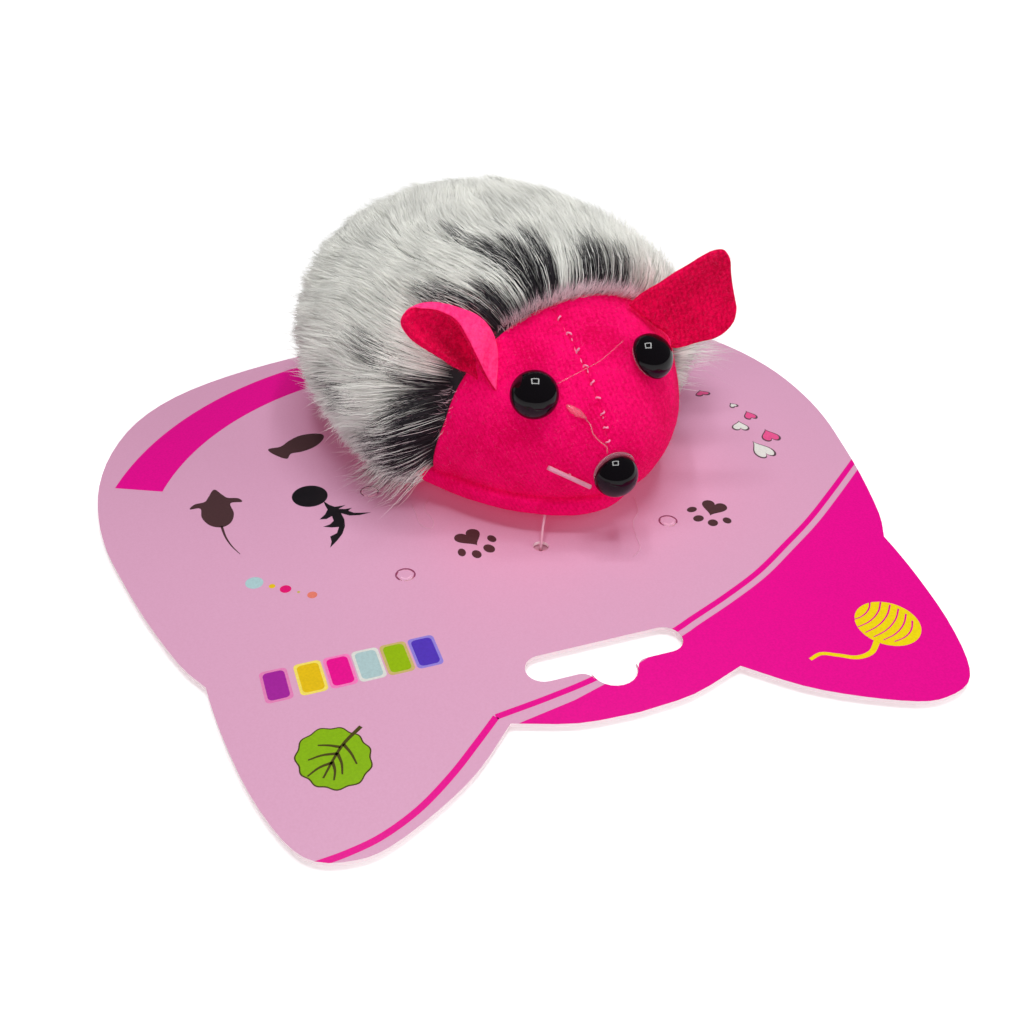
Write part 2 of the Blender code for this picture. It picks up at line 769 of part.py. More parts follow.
def tail_centre(share):
    """The middle of the tail at a share of its length: down past the card's edge, then level."""
    floor = -card_top + tail_floor_room + tail_thickness / 2
    root = tail_root()
    drop = ease(share * tail_length / tail_settle_length)
    return Vector((tail_bend * share ** 2, root.y + share * tail_length, root.z + (floor - root.z) * drop))


def strip_ring(place, along, half, thick):
    """A ring round a flat strip with bevelled edges, of half a width and half a thickness."""
    side = along.cross(Vector((0, 0, 1))).normalized()
    up = side.cross(along)
    edge = thick * tail_edge_share
    corners = ((half, edge), (half - edge, thick), (-half + edge, thick), (-half, edge),
               (-half, -edge), (-half + edge, -thick), (half - edge, -thick), (half, -edge))
    return [place + side * a + up * b for a, b in corners]


def make_tail():
    """A tapered felt strip, rounded at its root, with its origin on the line where it bends."""
    steps = 18
    thick = tail_thickness / 2
    rearward = Vector((0, 1, 0))
    rings = [strip_ring(-rearward * thick * sin(turn), rearward, tail_root_width / 2, thick * cos(turn))
             for turn in tail_root_turns]
    start = tail_centre(0)
    for k in range(steps + 1):
        share = k / steps
        nearby = [tail_centre(min(1, max(0, share + side / steps))) for side in (-1, 1)]
        along = (nearby[1] - nearby[0]).normalized()
        taper = tail_root_width + (tail_tip_width - tail_root_width) * share
        tip = min(1, (1 - share) * tail_length / tail_tip_width + tail_tip_round_share)
        rings.append(strip_ring(tail_centre(share) - start, along, taper / 2 * tip, thick))
    verts, faces = loft(rings)
    mesh_object("tail", verts, faces, red_felt, toy_frame, Matrix.Translation(start))


# Tag pins

def paddle(name, x, y):
    """The flat foot of a tag pin, under the card."""
    outline = rounded_outline([(x + a * paddle_length / 2, y + b * paddle_width / 2, paddle_width / 4)
                               for a, b in ((-1, -1), (1, -1), (1, 1), (-1, 1))], 3)
    low = -card_top
    return prism(name, outline, low, low + paddle_thickness, None, card_frame)


def to_card(point):
    """A point of the toy's frame in the card's frame."""
    turned = Matrix.Rotation(toy_turn, 3, "Z") @ Vector(point)
    return turned + Vector((toy_x, toy_y, 0))


def straight_bar(name, centre, along):
    """A T-bar."""
    half = along.normalized() * bar_length / 2
    return tube(name, [centre - half, centre + half], bar_diameter, 12, None, card_frame)


def make_pin(name, route, bar_centre, bar_along):
    """One tag pin: the filament's route in the card's frame, its T-bar and its paddle."""
    x, y = pin_spots[name]
    pin = tube(name, route, filament_diameter, 8, pin_plastic, card_frame)
    shape_with(pin, straight_bar(name + "_bar", bar_centre, bar_along), "UNION")
    shape_with(pin, paddle(name + "_paddle", x, y), "UNION")
    return tube(name + "_bore", route, filament_diameter + pin_bore_room * 2, 8, None, card_frame)


def make_pins(sole, head, body, panel):
    """The front pin holds the snout; the two rear ones end inside the body."""
    under = -card_top + paddle_thickness / 2
    bar_at, facing = egg_front(bar_x, bar_level, bar_diameter / 2 + gap)
    level_side = Vector((0, 0, 1)).cross(facing).normalized()
    bar_along = Matrix.Rotation(bar_tilt, 3, facing) @ level_side
    behind_panel = egg_front(bar_x, bar_level, -felt_thickness * 2)[0]
    hole_x, hole_y = pin_spots["front_tag_pin"]
    entry = Vector((chin_entry_x, chin_entry_y, sole_edge_front))
    inside = (entry + behind_panel) / 2 + Vector((0, felt_thickness, 0))
    corners = [Vector((hole_x, hole_y, under)), Vector((hole_x, hole_y, card_thickness)), to_card(entry),
               to_card(inside), to_card(behind_panel), to_card(bar_at)]
    bore = make_pin("front_tag_pin", smooth_path(corners, 4), to_card(bar_at),
                    Matrix.Rotation(toy_turn, 3, "Z") @ bar_along)
    for piece in (sole, head, panel):
        shape_with(piece, bore, "DIFFERENCE")
    for name in ("rear_tag_pin_left", "rear_tag_pin_right"):
        x, y = pin_spots[name]
        top = Vector((x, y, rear_bar_level))
        bore = make_pin(name, [Vector((x, y, under)), top], top, Vector((1, 0, 0)))
        shape_with(sole, bore, "DIFFERENCE")
        shape_with(body, bore, "DIFFERENCE")
        pocket_half = Vector((bar_length / 2 + pin_bore_room, 0, 0))
        pocket = tube(name + "_pocket", [top - pocket_half, top + pocket_half],
                      bar_diameter + pin_bore_room * 2, 12, None, card_frame)
        shape_with(body, pocket, "DIFFERENCE")


# Threads

def make_face_thread():
    """A ladder stitch along the seam over the head, as one zigzag thread."""
    points = []
    high, low = face_stitch_slopes
    steps = face_stitches * 2
    for k in range(steps + 1):
        height = egg_middle_height + egg_half_height * sin(high + (low - high) * k / steps)
        side = face_stitch_width / 2 if k % 2 else -face_stitch_width / 2
        points.append(egg_front(seam_x + side, height, thread_diameter / 2 + gap)[0])
    tube("face_seam_thread", points, thread_diameter, 6, pale_thread, toy_frame)


def make_collar_thread():
    """The stitches that hold the fur's edge to the face panels, from side to side over the head."""
    share = sqrt(1 - (collar_y / egg_nose_reach) ** 2)
    start = asin((crease_height - egg_middle_height) / (egg_half_height * share))
    steps = collar_stitches * 2
    points = []
    for k in range(steps + 1):
        turn = start + (pi - 2 * start) * k / steps
        y = collar_y if k % 2 else collar_y - collar_stitch_width
        points.append(egg_section(y, turn, thread_diameter / 2 + gap))
    tube("collar_seam_thread", points, thread_diameter, 6, pale_thread, toy_frame)


def centre_on_origin():
    """Moves the assembly so that the middle of its outline lies over the world's origin."""
    bpy.context.view_layer.update()
    spots = [piece.matrix_world @ v.co for piece in bpy.data.objects
             if piece.type == "MESH" and not piece.hide_render for v in piece.data.vertices]
    for axis in (0, 1):
        reach = [spot[axis] for spot in spots]
        card_frame.location[axis] -= (min(reach) + max(reach)) / 2


make_fur_cover()
right_panel = make_face_panels()
sole = make_sole()
head_wad, body_wad = make_stuffing()
make_eyes_and_nose()
make_ear("left", 1, ear_left_edge_shares, ear_left_out, ear_left_back, ear_left_cup,
         ear_left_spread_share, ear_left_droop_share)
make_ear("right", -1, ear_right_edge_shares, ear_right_out, ear_right_back, ear_right_cup,
         ear_right_spread_share, ear_right_droop_share)
make_tail()
make_pins(sole, head_wad, body_wad, right_panel)
make_face_thread()
make_collar_thread()
centre_on_origin()
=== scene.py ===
# %% [markdown]
# A plush mouse cat toy on its card. The card is printed board, the mouse is a stuffed sack: felt
# over the face and under the belly, long fur over the back, felt ears and tail, beads for eyes and
# nose. Plastic tag pins hold it to the card. The solids of the construction come first, as a fixed
# frame, and every soft piece is then modelled in the space that its solid holds.

# %% Load the fixed frame
import json
from math import acos, asin, atan2, cos, pi, radians, sin, sqrt, tau
import bmesh
import bpy
import numpy as np
from mathutils import Matrix, Vector, noise
from mathutils.kdtree import KDTree


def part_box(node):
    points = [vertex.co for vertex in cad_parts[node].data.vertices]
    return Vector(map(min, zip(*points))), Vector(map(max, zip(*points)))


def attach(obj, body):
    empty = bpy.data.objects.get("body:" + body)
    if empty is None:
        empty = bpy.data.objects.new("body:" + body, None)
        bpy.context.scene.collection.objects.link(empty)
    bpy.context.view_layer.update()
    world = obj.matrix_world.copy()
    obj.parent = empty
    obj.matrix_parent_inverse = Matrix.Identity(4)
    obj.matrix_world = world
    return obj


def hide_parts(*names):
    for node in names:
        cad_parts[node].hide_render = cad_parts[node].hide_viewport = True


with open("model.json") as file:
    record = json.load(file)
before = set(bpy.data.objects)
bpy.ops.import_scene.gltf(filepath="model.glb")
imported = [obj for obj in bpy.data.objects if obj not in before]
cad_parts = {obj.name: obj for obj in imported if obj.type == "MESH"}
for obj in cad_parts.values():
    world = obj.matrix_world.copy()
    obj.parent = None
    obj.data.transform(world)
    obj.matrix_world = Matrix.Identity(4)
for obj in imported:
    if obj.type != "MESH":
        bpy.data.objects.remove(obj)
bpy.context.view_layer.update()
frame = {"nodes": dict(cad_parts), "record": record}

mm = 0.001

# %% [markdown]
# Colours are written the way a picture editor shows them, as sRGB hex values. Shaders need linear
# light, so one function turns them. One small function adds each node: its own settings go in by
# name, and its sockets take a value, a colour, another node's first output or any other output.

# %% Colours and nodes
def to_linear(hex_colour):
    """An sRGB hex value as linear red, green, blue and alpha."""
    parts = [int(hex_colour[i:i + 2], 16) / 255 for i in (1, 3, 5)]
    return (*(c / 12.92 if c <= 0.04045 else ((c + 0.055) / 1.055) ** 2.4 for c in parts), 1.0)


def set_sockets(finish, node, sockets):
    """Gives each named socket of a node its value, colour or link."""
    for name, value in sockets.items():
        if isinstance(value, bpy.types.Node):
            value = value.outputs[0]
        if isinstance(value, bpy.types.NodeSocket):
            finish.node_tree.links.new(value, node.inputs[name])
        else:
            node.inputs[name].default_value = to_linear(value) if isinstance(value, str) else value


def add_node(finish, kind, sockets=None, **settings):
    """Adds a node to a material or world, with its settings, socket values and links."""
    made = finish.node_tree.nodes.new("ShaderNode" + kind)
    for name, value in settings.items():
        setattr(made, name, value)
    set_sockets(finish, made, sockets or {})
    return made


def new_finish(name, colour, roughness, sockets=None):
    """A material named for what the real one is, and its Principled shader."""
    finish = bpy.data.materials.new(name)
    finish.use_nodes = True
    shader = finish.node_tree.nodes["Principled BSDF"]
    set_sockets(finish, shader, {"Base Color": colour, "Roughness": roughness, **(sockets or {})})
    return finish, shader


def add_object(name, data):
    """Puts a mesh, lamp or camera in the scene."""
    made = bpy.data.objects.new(name, data)
    bpy.context.scene.collection.objects.link(made)
    return made


# A Mix node holds one set of sockets for each kind of data; these are its colour ones.
mix_a, mix_b, mix_result = 6, 7, 2
print("mid grey in linear light:", round(to_linear("#808080")[0], 3))

# %% [markdown]
# The camera stands where the photographer stood: above the snout and a little to its right, looking
# down at the card with a lens slightly wider than the eye.

# %% Camera
camera_data = bpy.data.cameras.new("camera")
camera_data.lens = 39.3216
camera_data.sensor_width = 36
camera_data.clip_start = 10 * mm
camera = add_object("camera", camera_data)
camera.location = (-71.723 * mm, -220.110 * mm, 149.786 * mm)
camera.rotation_euler = (radians(53.138), radians(-1.466), radians(-19.657))
bpy.context.scene.camera = camera
bpy.context.scene.view_settings.view_transform = "Standard"
print("camera:", round(camera.location.length / mm), "mm from the middle of the card")

# %% [markdown]
# The set is a white table in a white room. The table is matt, so it takes only soft shadows, and far
# from the card it is burnt out to pure white, which a glow that only the camera sees gives it. The
# glow is left out under the front pin's hole, a painted shade where the card keeps the light off.

# %% Table
floor_half = 2.0
glow_starts, glow_full, glow_at_card = 150 * mm, 340 * mm, 0.34
hole_place = (0, -48.8 * mm, 0)
hole_shade, hole_lit = 6 * mm, 12 * mm
floor_mesh = bpy.data.meshes.new("floor")
floor_corners = [(x * floor_half, y * floor_half, 0) for x, y in ((-1, -1), (1, -1), (1, 1), (-1, 1))]
floor_mesh.from_pydata(floor_corners, [], [(0, 1, 2, 3)])
add_object("floor", floor_mesh)

table, table_shader = new_finish("matt_white_table", "#f4f4f4", 0.9, {"Emission Color": "#ffffff"})
floor_mesh.materials.append(table)
table_place = add_node(table, "TexCoord").outputs["Object"]
from_card = add_node(table, "VectorMath", {0: table_place}, operation="LENGTH")
burnt_out = add_node(table, "MapRange", {
    "Value": from_card.outputs["Value"], "From Min": glow_starts, "From Max": glow_full,
    "To Min": glow_at_card, "To Max": 1.0})
# Taking the glow away round the pin's hole is a painted shade.
from_hole = add_node(table, "VectorMath", {0: table_place, 1: hole_place}, operation="DISTANCE")
in_shade = add_node(table, "MapRange", {
    "Value": from_hole.outputs["Value"], "From Min": hole_shade, "From Max": hole_lit})
unshaded = add_node(table, "Math", {0: burnt_out, 1: in_shade}, operation="MULTIPLY")
seen = add_node(table, "LightPath").outputs["Is Camera Ray"]
table_glow = add_node(table, "Math", {0: seen, 1: unshaded}, operation="MULTIPLY")
set_sockets(table, table_shader, {"Emission Strength": table_glow})
print("table:", 2 * floor_half, "m square")

# %% [markdown]
# The beads in the photograph mirror a small bright square ring, so the key light is a square ring of
# four tubes overhead. Two broad soft lamps fill the front and the right, and they aren't mirrored.
# The room shows white but lights the toy only faintly.

# %% Room and lamps
room_light = 0.085
room = bpy.data.worlds.new("room")
room.use_nodes = True
bpy.context.scene.world = room
rays = add_node(room, "LightPath").outputs
room_seen = add_node(room, "Math", {0: rays["Is Camera Ray"], 1: rays["Is Transmission Ray"]},
                     operation="MAXIMUM")
room_level = add_node(room, "MapRange", {"Value": room_seen, "To Min": room_light, "To Max": 1.0})
set_sockets(room, room.node_tree.nodes["Background"], {"Color": "#ffffff", "Strength": room_level})


def area_lamp(name, place, rotation, size, power):
    """A soft rectangular lamp."""
    lamp = bpy.data.lights.new(name, "AREA")
    lamp.shape = "RECTANGLE"
    lamp.size, lamp.size_y = size
    lamp.energy = power
    made = add_object(name, lamp)
    made.location = place
    made.rotation_euler = rotation
    return made


ring_turn = camera.rotation_euler.z
ring_height, ring_half, ring_tube, ring_forward = 520 * mm, 105 * mm, 34 * mm, 20 * mm
ring_power = 0.49
for k in range(4):
    turn = tau * k / 4 + ring_turn
    place = (ring_half * cos(turn), ring_half * sin(turn) - ring_forward, ring_height)
    area_lamp(f"ring_tube_{k}", place, (0, 0, turn), (ring_tube, 2 * ring_half + ring_tube), ring_power)

toy_middle = Vector((6 * mm, 0, 25 * mm))
soft_size = 600 * mm
soft_lamps = (("front_fill", (-360, -730, 400), 3.2), ("right_fill", (650, -330, 330), 2.2))
for name, place, power in soft_lamps:
    place = Vector(place) * mm
    aim = (toy_middle - place).to_track_quat("-Z", "Y").to_euler()
    area_lamp(name, place, aim, (soft_size, soft_size), power).visible_glossy = False
print("lamps:", len(bpy.data.lights))

# %% [markdown]
# The mouse is turned a little on its card, so its own sizes are easiest in its own frame: nose
# towards -Y, the card's top at zero. One function brings points from there into the frame of the
# whole. The stuffed sack is an egg, longer in front, and the fur's tips fill a rounder form.

# %% Sizes of the mouse
card_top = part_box("backing_card")[1].z
toy_turn = radians(11.6)
toy_place = np.array((4.9 * mm, 10.887 * mm, card_top))

egg_middle = np.array((2.0, 0, 17.8)) * mm
egg_front = np.array((37.6, 60.6, 32.4)) * mm
egg_rear = np.array((37.6, 36.0, 32.4)) * mm
collar_y = -36.0 * mm
seam_x = -2.8 * mm
crease_height, hem_height = 8.8 * mm, 6.3 * mm
felt = 1.3 * mm

turn_cos, turn_sin = cos(toy_turn), sin(toy_turn)
to_card = np.array(((turn_cos, -turn_sin, 0), (turn_sin, turn_cos, 0), (0, 0, 1)))


def placed(points):
    """Points of the mouse's own frame in the frame of the whole."""
    return np.asarray(points, float) @ to_card.T + toy_place


def unit(vectors):
    """Vectors scaled to length 1."""
    return vectors / np.maximum(np.linalg.norm(vectors, axis=-1, keepdims=True), 1e-12)


def eased(share):
    """A smooth step from 0 to 1."""
    share = np.clip(share, 0, 1)
    return share * share * (3 - 2 * share)


def egg_points(slants, turns):
    """Points of the egg's front by slant from the nose and turn about its axis, with their facings."""
    slants, turns = np.broadcast_arrays(slants, turns)
    spots = np.stack([np.sin(slants) * np.cos(turns), -np.cos(slants), np.sin(slants) * np.sin(turns)], -1)
    spots = spots.reshape(-1, 3)
    return spots * egg_front + egg_middle, unit(spots / egg_front)


def skin_point(x, height, lift=0.0):
    """The face's skin in front at x and a height, lifted off it, and the skin's direction there."""
    across = (x - egg_middle[0]) / egg_front[0]
    rise = (height - egg_middle[2]) / egg_front[2]
    ahead = -sqrt(1 - across * across - rise * rise)
    facing = unit(np.array((across, ahead, rise)) / egg_front)
    return np.array((x, ahead * egg_front[1], height)) + facing * lift, facing


print("mouse:", round(float(egg_front[1] + egg_rear[1]) / mm, 1), "mm from nose to rump")

# %% [markdown]
# Every piece rides on the body that its solid belongs to, and where it stands for a solid it hides
# that solid.

# %% Making a piece
def add_piece(name, mesh, finish, body="toy_on_card", replaced=()):
    """A smooth-shaded piece that rides on a body."""
    mesh.shade_smooth()
    mesh.materials.append(finish)
    piece = add_object(name, mesh)
    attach(piece, body)
    if replaced:
        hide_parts(*replaced)
    return piece


def make_piece(name, points, faces, finish, body="toy_on_card", replaced=()):
    """A piece from its points in the frame of the whole and its faces."""
    mesh = bpy.data.meshes.new(name)
    mesh.from_pydata(np.asarray(points, float).tolist(), [], [tuple(face) for face in faces])
    return add_piece(name, mesh, finish, body, replaced)


def edit_mesh(piece, edit):
    """Edits a piece's mesh by a function of its bmesh."""
    bm = bmesh.new()
    bm.from_mesh(piece.data)
    edit(bm)
    bm.to_mesh(piece.data)
    bm.free()
    return piece


def outward(piece):
    """Turns all faces of a closed mesh to look out."""
    return edit_mesh(piece, lambda bm: bmesh.ops.recalc_face_normals(bm, faces=bm.faces))


def modify(piece, kind, **settings):
    """Adds a modifier with its settings."""
    added = piece.modifiers.new(kind.lower(), kind)
    for name, value in settings.items():
        setattr(added, name, value)


def apply_modifiers(piece):
    """Bakes a piece's modifiers into its mesh."""
    depsgraph = bpy.context.evaluated_depsgraph_get()
    piece.data = bpy.data.meshes.new_from_object(piece.evaluated_get(depsgraph))
    piece.modifiers.clear()
    return piece


def grid_faces(rows, columns, closed=False, capped=False):
    """Quads of a grid of points; closed joins the last column to the first, capped fills the ends."""
    faces = []
    for i in range(rows - 1):
        for j in range(columns if closed else columns - 1):
            k = (j + 1) % columns
            faces.append((i * columns + j, i * columns + k, (i + 1) * columns + k, (i + 1) * columns + j))
    if capped:
        faces += [tuple(range(columns)), tuple(range((rows - 1) * columns, rows * columns))]
    return faces


print("a 3 by 3 grid has", len(grid_faces(3, 3)), "quads")

# %% [markdown]
# The card is coated white board: printed on top, plain on its back, with a bare white fibre edge
# where the die cut it. The face's direction tells top from edge, so one finish serves the solid.
# A coated sheet has a satin shine, and the ink lies a little unevenly, which shows as faint mottle.
# The board also glows a little though it is no lamp, a painted pink light standing in for light
# bounced off the felt, so even its shadows stay pink.

# %% Card
mottle_size = 0.45 * mm
# The emission is a painted pink light that keeps the board's shadows pink.
board, board_shader = new_finish("coated_printed_board", "#dfa3c4", 0.38, {
    "Specular IOR Level": 0.42, "Emission Color": "#ff1f7f", "Emission Strength": 0.10})
board_place = add_node(board, "TexCoord").outputs["Object"]
board_shape = add_node(board, "NewGeometry").outputs["True Normal"]
board_up = add_node(board, "SeparateXYZ", {0: board_shape}).outputs["Z"]
board_top = add_node(board, "Math", {0: board_up, 1: 0.5}, operation="GREATER_THAN")
mottle = add_node(board, "TexNoise", {"Vector": board_place, "Scale": 1 / mottle_size, "Detail": 2.0})
pale_pink = add_node(board, "Mix", {"Factor": mottle, mix_a: "#d0a7c4", mix_b: "#c79cb7"}, data_type="RGBA")
board_mix = add_node(board, "Mix", {
    "Factor": board_top, mix_a: "#f1e9ec", mix_b: pale_pink.outputs[mix_result]}, data_type="RGBA")
set_sockets(board, board_shader, {"Base Color": board_mix.outputs[mix_result]})


def repaint(node, finish):
    """Gives a solid of the frame its finish."""
    solid = frame["nodes"][node]
    solid.data.materials.clear()
    solid.data.materials.append(finish)
    return solid


card = repaint("backing_card", board)
print("card:", len(card.data.polygons), "faces")

# %% [markdown]
# The print is offset ink on the board. Each figure is a flat shape a few hundredths of a millimetre
# thick, so that it has a crisp edge from any side, and shapes that lie on others are a step higher.
# Every place is in millimetres from the middle of the hang slot, with the board's crown towards +Y,
# so the figures, which are drawn for a card that hangs from its slot, look upside down here. Ink
# takes the board's satin shine and its faint mottle.

# %% Ink
ink_step = 0.02 * mm
slot_place = next(mount for mount in frame["record"]["mounts"] if mount["name"] == "hang_slot")["pos_m"]


def mottled(finish, colour, size, detail, noise_range, level_range):
    """The colour of a finish made lighter and darker by noise of a size."""
    place = add_node(finish, "TexCoord").outputs["Object"]
    grain = add_node(finish, "TexNoise", {"Vector": place, "Scale": 1 / size, "Detail": detail})
    level = add_node(finish, "MapRange", {
        "Value": grain, "From Min": noise_range[0], "From Max": noise_range[1],
        "To Min": level_range[0], "To Max": level_range[1]})
    return add_node(finish, "HueSaturation", {"Value": level, "Color": colour})


def new_ink(name, colour):
    """An offset ink with the same faint mottle as the board."""
    ink, shader = new_finish(name, colour, 0.36, {"Specular IOR Level": 0.25})
    shade = mottled(ink, colour, mottle_size, 2.0, (0.3, 0.7), (0.94, 1.06))
    set_sockets(ink, shader, {"Base Color": shade})
    return ink


magenta_ink = new_ink("magenta_ink", "#e6008f")
sepia_ink = new_ink("sepia_ink", "#4a3033")
black_ink = new_ink("black_ink", "#0f0c12")
print("slot:", [round(value / mm, 1) for value in slot_place], "mm")

# %% Drawn lines and shapes
def curved(held, per_span):
    """Points on a smooth curve through all but the first and last of the held points."""
    out = []
    for a, b, c, d in zip(held, held[1:], held[2:], held[3:]):
        for k in range(per_span):
            t = k / per_span
            out.append((b * 2 + (c - a) * t + (a * 2 - b * 5 + c * 4 - d) * t * t
                        + (b * 3 - a - c * 3 + d) * t ** 3) / 2)
    return out


def loop_through(points, per_span=5):
    """A smooth closed outline through given points."""
    held = [np.array(p, float) for p in points]
    return curved([held[-1], *held, held[0], held[1]], per_span)


def line_through(points, per_span=8):
    """A smooth open line through given points."""
    held = [np.array(p, float) for p in points]
    return [*curved([held[0] * 2 - held[1], *held, held[-1] * 2 - held[-2]], per_span), held[-1]]


def ways_along(line):
    """The direction of a line at each of its points."""
    last = len(line) - 1
    return [unit(line[min(i + 1, last)] - line[max(i - 1, 0)]) for i in range(len(line))]


def beside(line, offsets):
    """A flat line shifted to its left by an offset for each point."""
    return [spot + np.array((-along[1], along[0])) * offset
            for spot, along, offset in zip(line, ways_along(line), offsets)]


def stroke(points, start_width, end_width):
    """The outline of a drawn line whose width goes from one value to another."""
    line = line_through(points)
    halves = [(start_width + (end_width - start_width) * i / (len(line) - 1)) / 2 for i in range(len(line))]
    return beside(line, halves) + beside(line, [-half for half in halves])[::-1]


def turned(x, y, turn, drawn):
    """Drawn points turned by degrees, with their middle brought to x and y."""
    c, s = cos(radians(turn)), sin(radians(turn))
    return [(x + a * c - b * s, y + a * s + b * c) for a, b in drawn]


def oval(x, y, wide, high, turn=0.0, steps=32):
    """An ellipse by its middle, half width and half height, turned by degrees."""
    turns = [tau * k / steps for k in range(steps)]
    return turned(x, y, turn, [(wide * cos(t), high * sin(t)) for t in turns])


def heart(x, y, wide, high, turn, steps=40):
    """A heart by its middle, width and height, with its tip down before the turn in degrees."""
    turns = [tau * k / steps for k in range(steps)]
    return turned(x, y, turn, [
        (sin(t) ** 3 * wide / 2,
         (13 * cos(t) - 5 * cos(2 * t) - 2 * cos(3 * t) - cos(4 * t) + 2.5) / 29 * high) for t in turns])


def arc(x, y, radius, start, end, steps=8):
    """Points of an arc round a place, from one angle in degrees to another."""
    turns = [radians(start + (end - start) * k / steps) for k in range(steps + 1)]
    return [(x + radius * cos(t), y + radius * sin(t)) for t in turns]


print("a stroke of two spans has", len(stroke([(0, 0), (1, 0), (2, 1)], 0.2, 0.1)), "points")

# %% Printing a shape
def print_shapes(name, outlines, level, ink):
    """Flat ink shapes on the board, at a level of so many steps; outlines are in millimetres."""
    points, faces = [], []
    for outline in outlines:
        flat = np.array(outline, float) * mm + np.array(slot_place[:2])
        following = np.roll(flat, -1, axis=0)
        if (flat[:, 0] * following[:, 1] - following[:, 0] * flat[:, 1]).sum() < 0:
            flat = flat[::-1]
        first, count = len(points), len(flat)
        for height in (card_top, card_top + level * ink_step):
            points += [(x, y, height) for x, y in flat]
        faces.append(tuple(range(first + count, first + 2 * count)))
        faces.append(tuple(range(first + count - 1, first - 1, -1)))
        for i in range(count):
            j = (i + 1) % count
            faces.append((first + i, first + j, first + count + j, first + count + i))
    piece = make_piece("print_" + name, points, faces, ink)
    piece.data.shade_flat()
    return piece


def print_to_edge(name, outline):
    """A magenta shape at the first level, cut at the board's edge, slot and holes."""
    piece = print_shapes(name, [outline], 1, magenta_ink)
    board_copy = card.data.copy()
    board_copy.transform(Matrix.Translation((0, 0, ink_step)))
    tool = add_object("cutting_board", board_copy)
    for vertex in piece.data.vertices:
        if vertex.co.z > card_top + ink_step / 2:
            vertex.co.z += mm
    modify(piece, "BOOLEAN", operation="INTERSECT", solver="EXACT", object=tool)
    apply_modifiers(piece)
    bpy.data.objects.remove(tool)


print("an ink layer is", ink_step / mm, "mm thick")

# %% [markdown]
# The largest print is the magenta field at the slot's end, with a thin line that runs along it and
# on inside the other ear, and the curved banner at the crown, which stays bare.

# %% Field, line and banner
sweep_right = [(4, -2.6), (16, 1.9), (20, 3.6), (30, 7.7), (40, 12.4), (50, 18.5), (60, 24.9), (70, 32.2),
               (80, 39.8), (90, 47.6)]
sweep_left = [(4, -2.6), (-4.5, -5.4), (-14, -7.2), (-24.8, -8.7)]
sweep_ear = [(-24.8, -8.7), (-30, -13.4), (-36, -18.6), (-43, -23.6), (-50, -26.9), (-56, -28.3),
             (-62, -28.9)]
line_width, field_offset = 1.3, 2.0

guide = line_through(sweep_right)
field_edge = beside(guide, [-field_offset] * len(guide))
print_to_edge("field", [(-22.6, -11.7), (-20.5, -11.2), (-10, -9.3), (-3.5, -7.4), *field_edge,
                        (100, 40), (100, -45), (10, -45)])
for name, sweep in (("right", sweep_right), ("left", sweep_left), ("ear", sweep_ear)):
    print_to_edge("line_" + name, stroke(sweep, line_width, line_width))

banner_middle, banner_inner, banner_outer = (-14, 51), 65.5, 76.3
banner_start, banner_end, banner_steps = 155.4, 99.0, 40
banner = (arc(*banner_middle, banner_inner, banner_start, banner_end, banner_steps)
          + arc(*banner_middle, banner_outer, banner_end, banner_start, banner_steps))
print_shapes("banner", [banner], 1, magenta_ink)
print("banner:", len(banner), "points")

# %% [markdown]
# The small figures are common ones: paws, hearts, a fish, a mouse, a ball with a feather, dots and a
# leaf. A row of plain blocks and a ball of yarn complete the sheet.

# %% Dark figures
pads = ((-9.1, 39.8, 0.9, 1.25, 10), (-10.7, 36.8, 1.15, 1.45, 15), (-13.8, 35.8, 1.0, 1.35, 0),
        (-16.6, 37.3, 0.85, 1.3, -10), (36.7, 36.1, 1.25, 0.9, 15), (36.6, 32.7, 1.3, 1.05, 20),
        (38.9, 30.3, 1.25, 1.1, 40), (42.3, 30.1, 0.95, 1.1, -10))
toes = [oval(*pad) for pad in pads]
paws = [heart(-13.5, 41.2, 6.0, 5.6, 16), *toes[:4], heart(41.4, 34.9, 5.7, 5.6, -42), *toes[4:]]
print_shapes("paws", paws, 1, sepia_ink)

fish = [(-34.7, 90.2), (-36.4, 91.6), (-40, 91.8), (-43, 90.3), (-45.4, 88.4), (-48.3, 88.2),
        (-47.6, 85.8), (-45, 82.9), (-43.6, 84.7), (-41, 84.8), (-38, 85.8), (-35.6, 87.9)]
print_shapes("fish", [loop_through(fish)], 1, sepia_ink)

mouse_body = [(-62.6, 75.6), (-64.2, 73.0), (-65.2, 71.5), (-67.4, 71.2), (-68.6, 69.7), (-66.4, 69.3),
              (-66.5, 65.8), (-65.2, 62.6), (-62.9, 61.2), (-60.8, 62.3), (-59.7, 65.4), (-59.9, 69.3),
              (-57.4, 69.1), (-58.0, 70.7), (-60.2, 71.6), (-61.2, 73.2)]
mouse_tail = stroke([(-62.9, 61.6), (-62.6, 57.5), (-61.8, 54.0), (-60.6, 50.9)], 0.55, 0.15)
print_shapes("mouse", [loop_through(mouse_body), mouse_tail], 1, sepia_ink)

feather = [(-40.3, 64.0), (-39.4, 62.2), (-38.4, 61.1), (-36.0, 61.0), (-37.8, 60.1), (-36.4, 59.6),
           (-34.9, 59.6), (-35.9, 58.8), (-34.9, 57.7), (-33.3, 57.2), (-31.3, 56.7), (-33.8, 56.5),
           (-36.0, 57.0), (-37.6, 58.4), (-37.4, 56.0), (-37.8, 53.6), (-38.9, 51.2), (-40.4, 49.3),
           (-42.4, 47.3), (-41.7, 49.2), (-41.6, 51.0), (-40.0, 51.7), (-39.1, 53.7), (-40.6, 54.0),
           (-42.3, 54.8), (-40.7, 55.2), (-39.7, 56.2), (-39.7, 58.0), (-41.0, 57.3), (-42.5, 57.6),
           (-41.0, 59.0), (-40.1, 60.6), (-40.3, 62.2)]
print_shapes("ball", [oval(-42.8, 66.7, 3.95, 4.05), feather], 1, black_ink)
print("feather:", len(feather), "points")

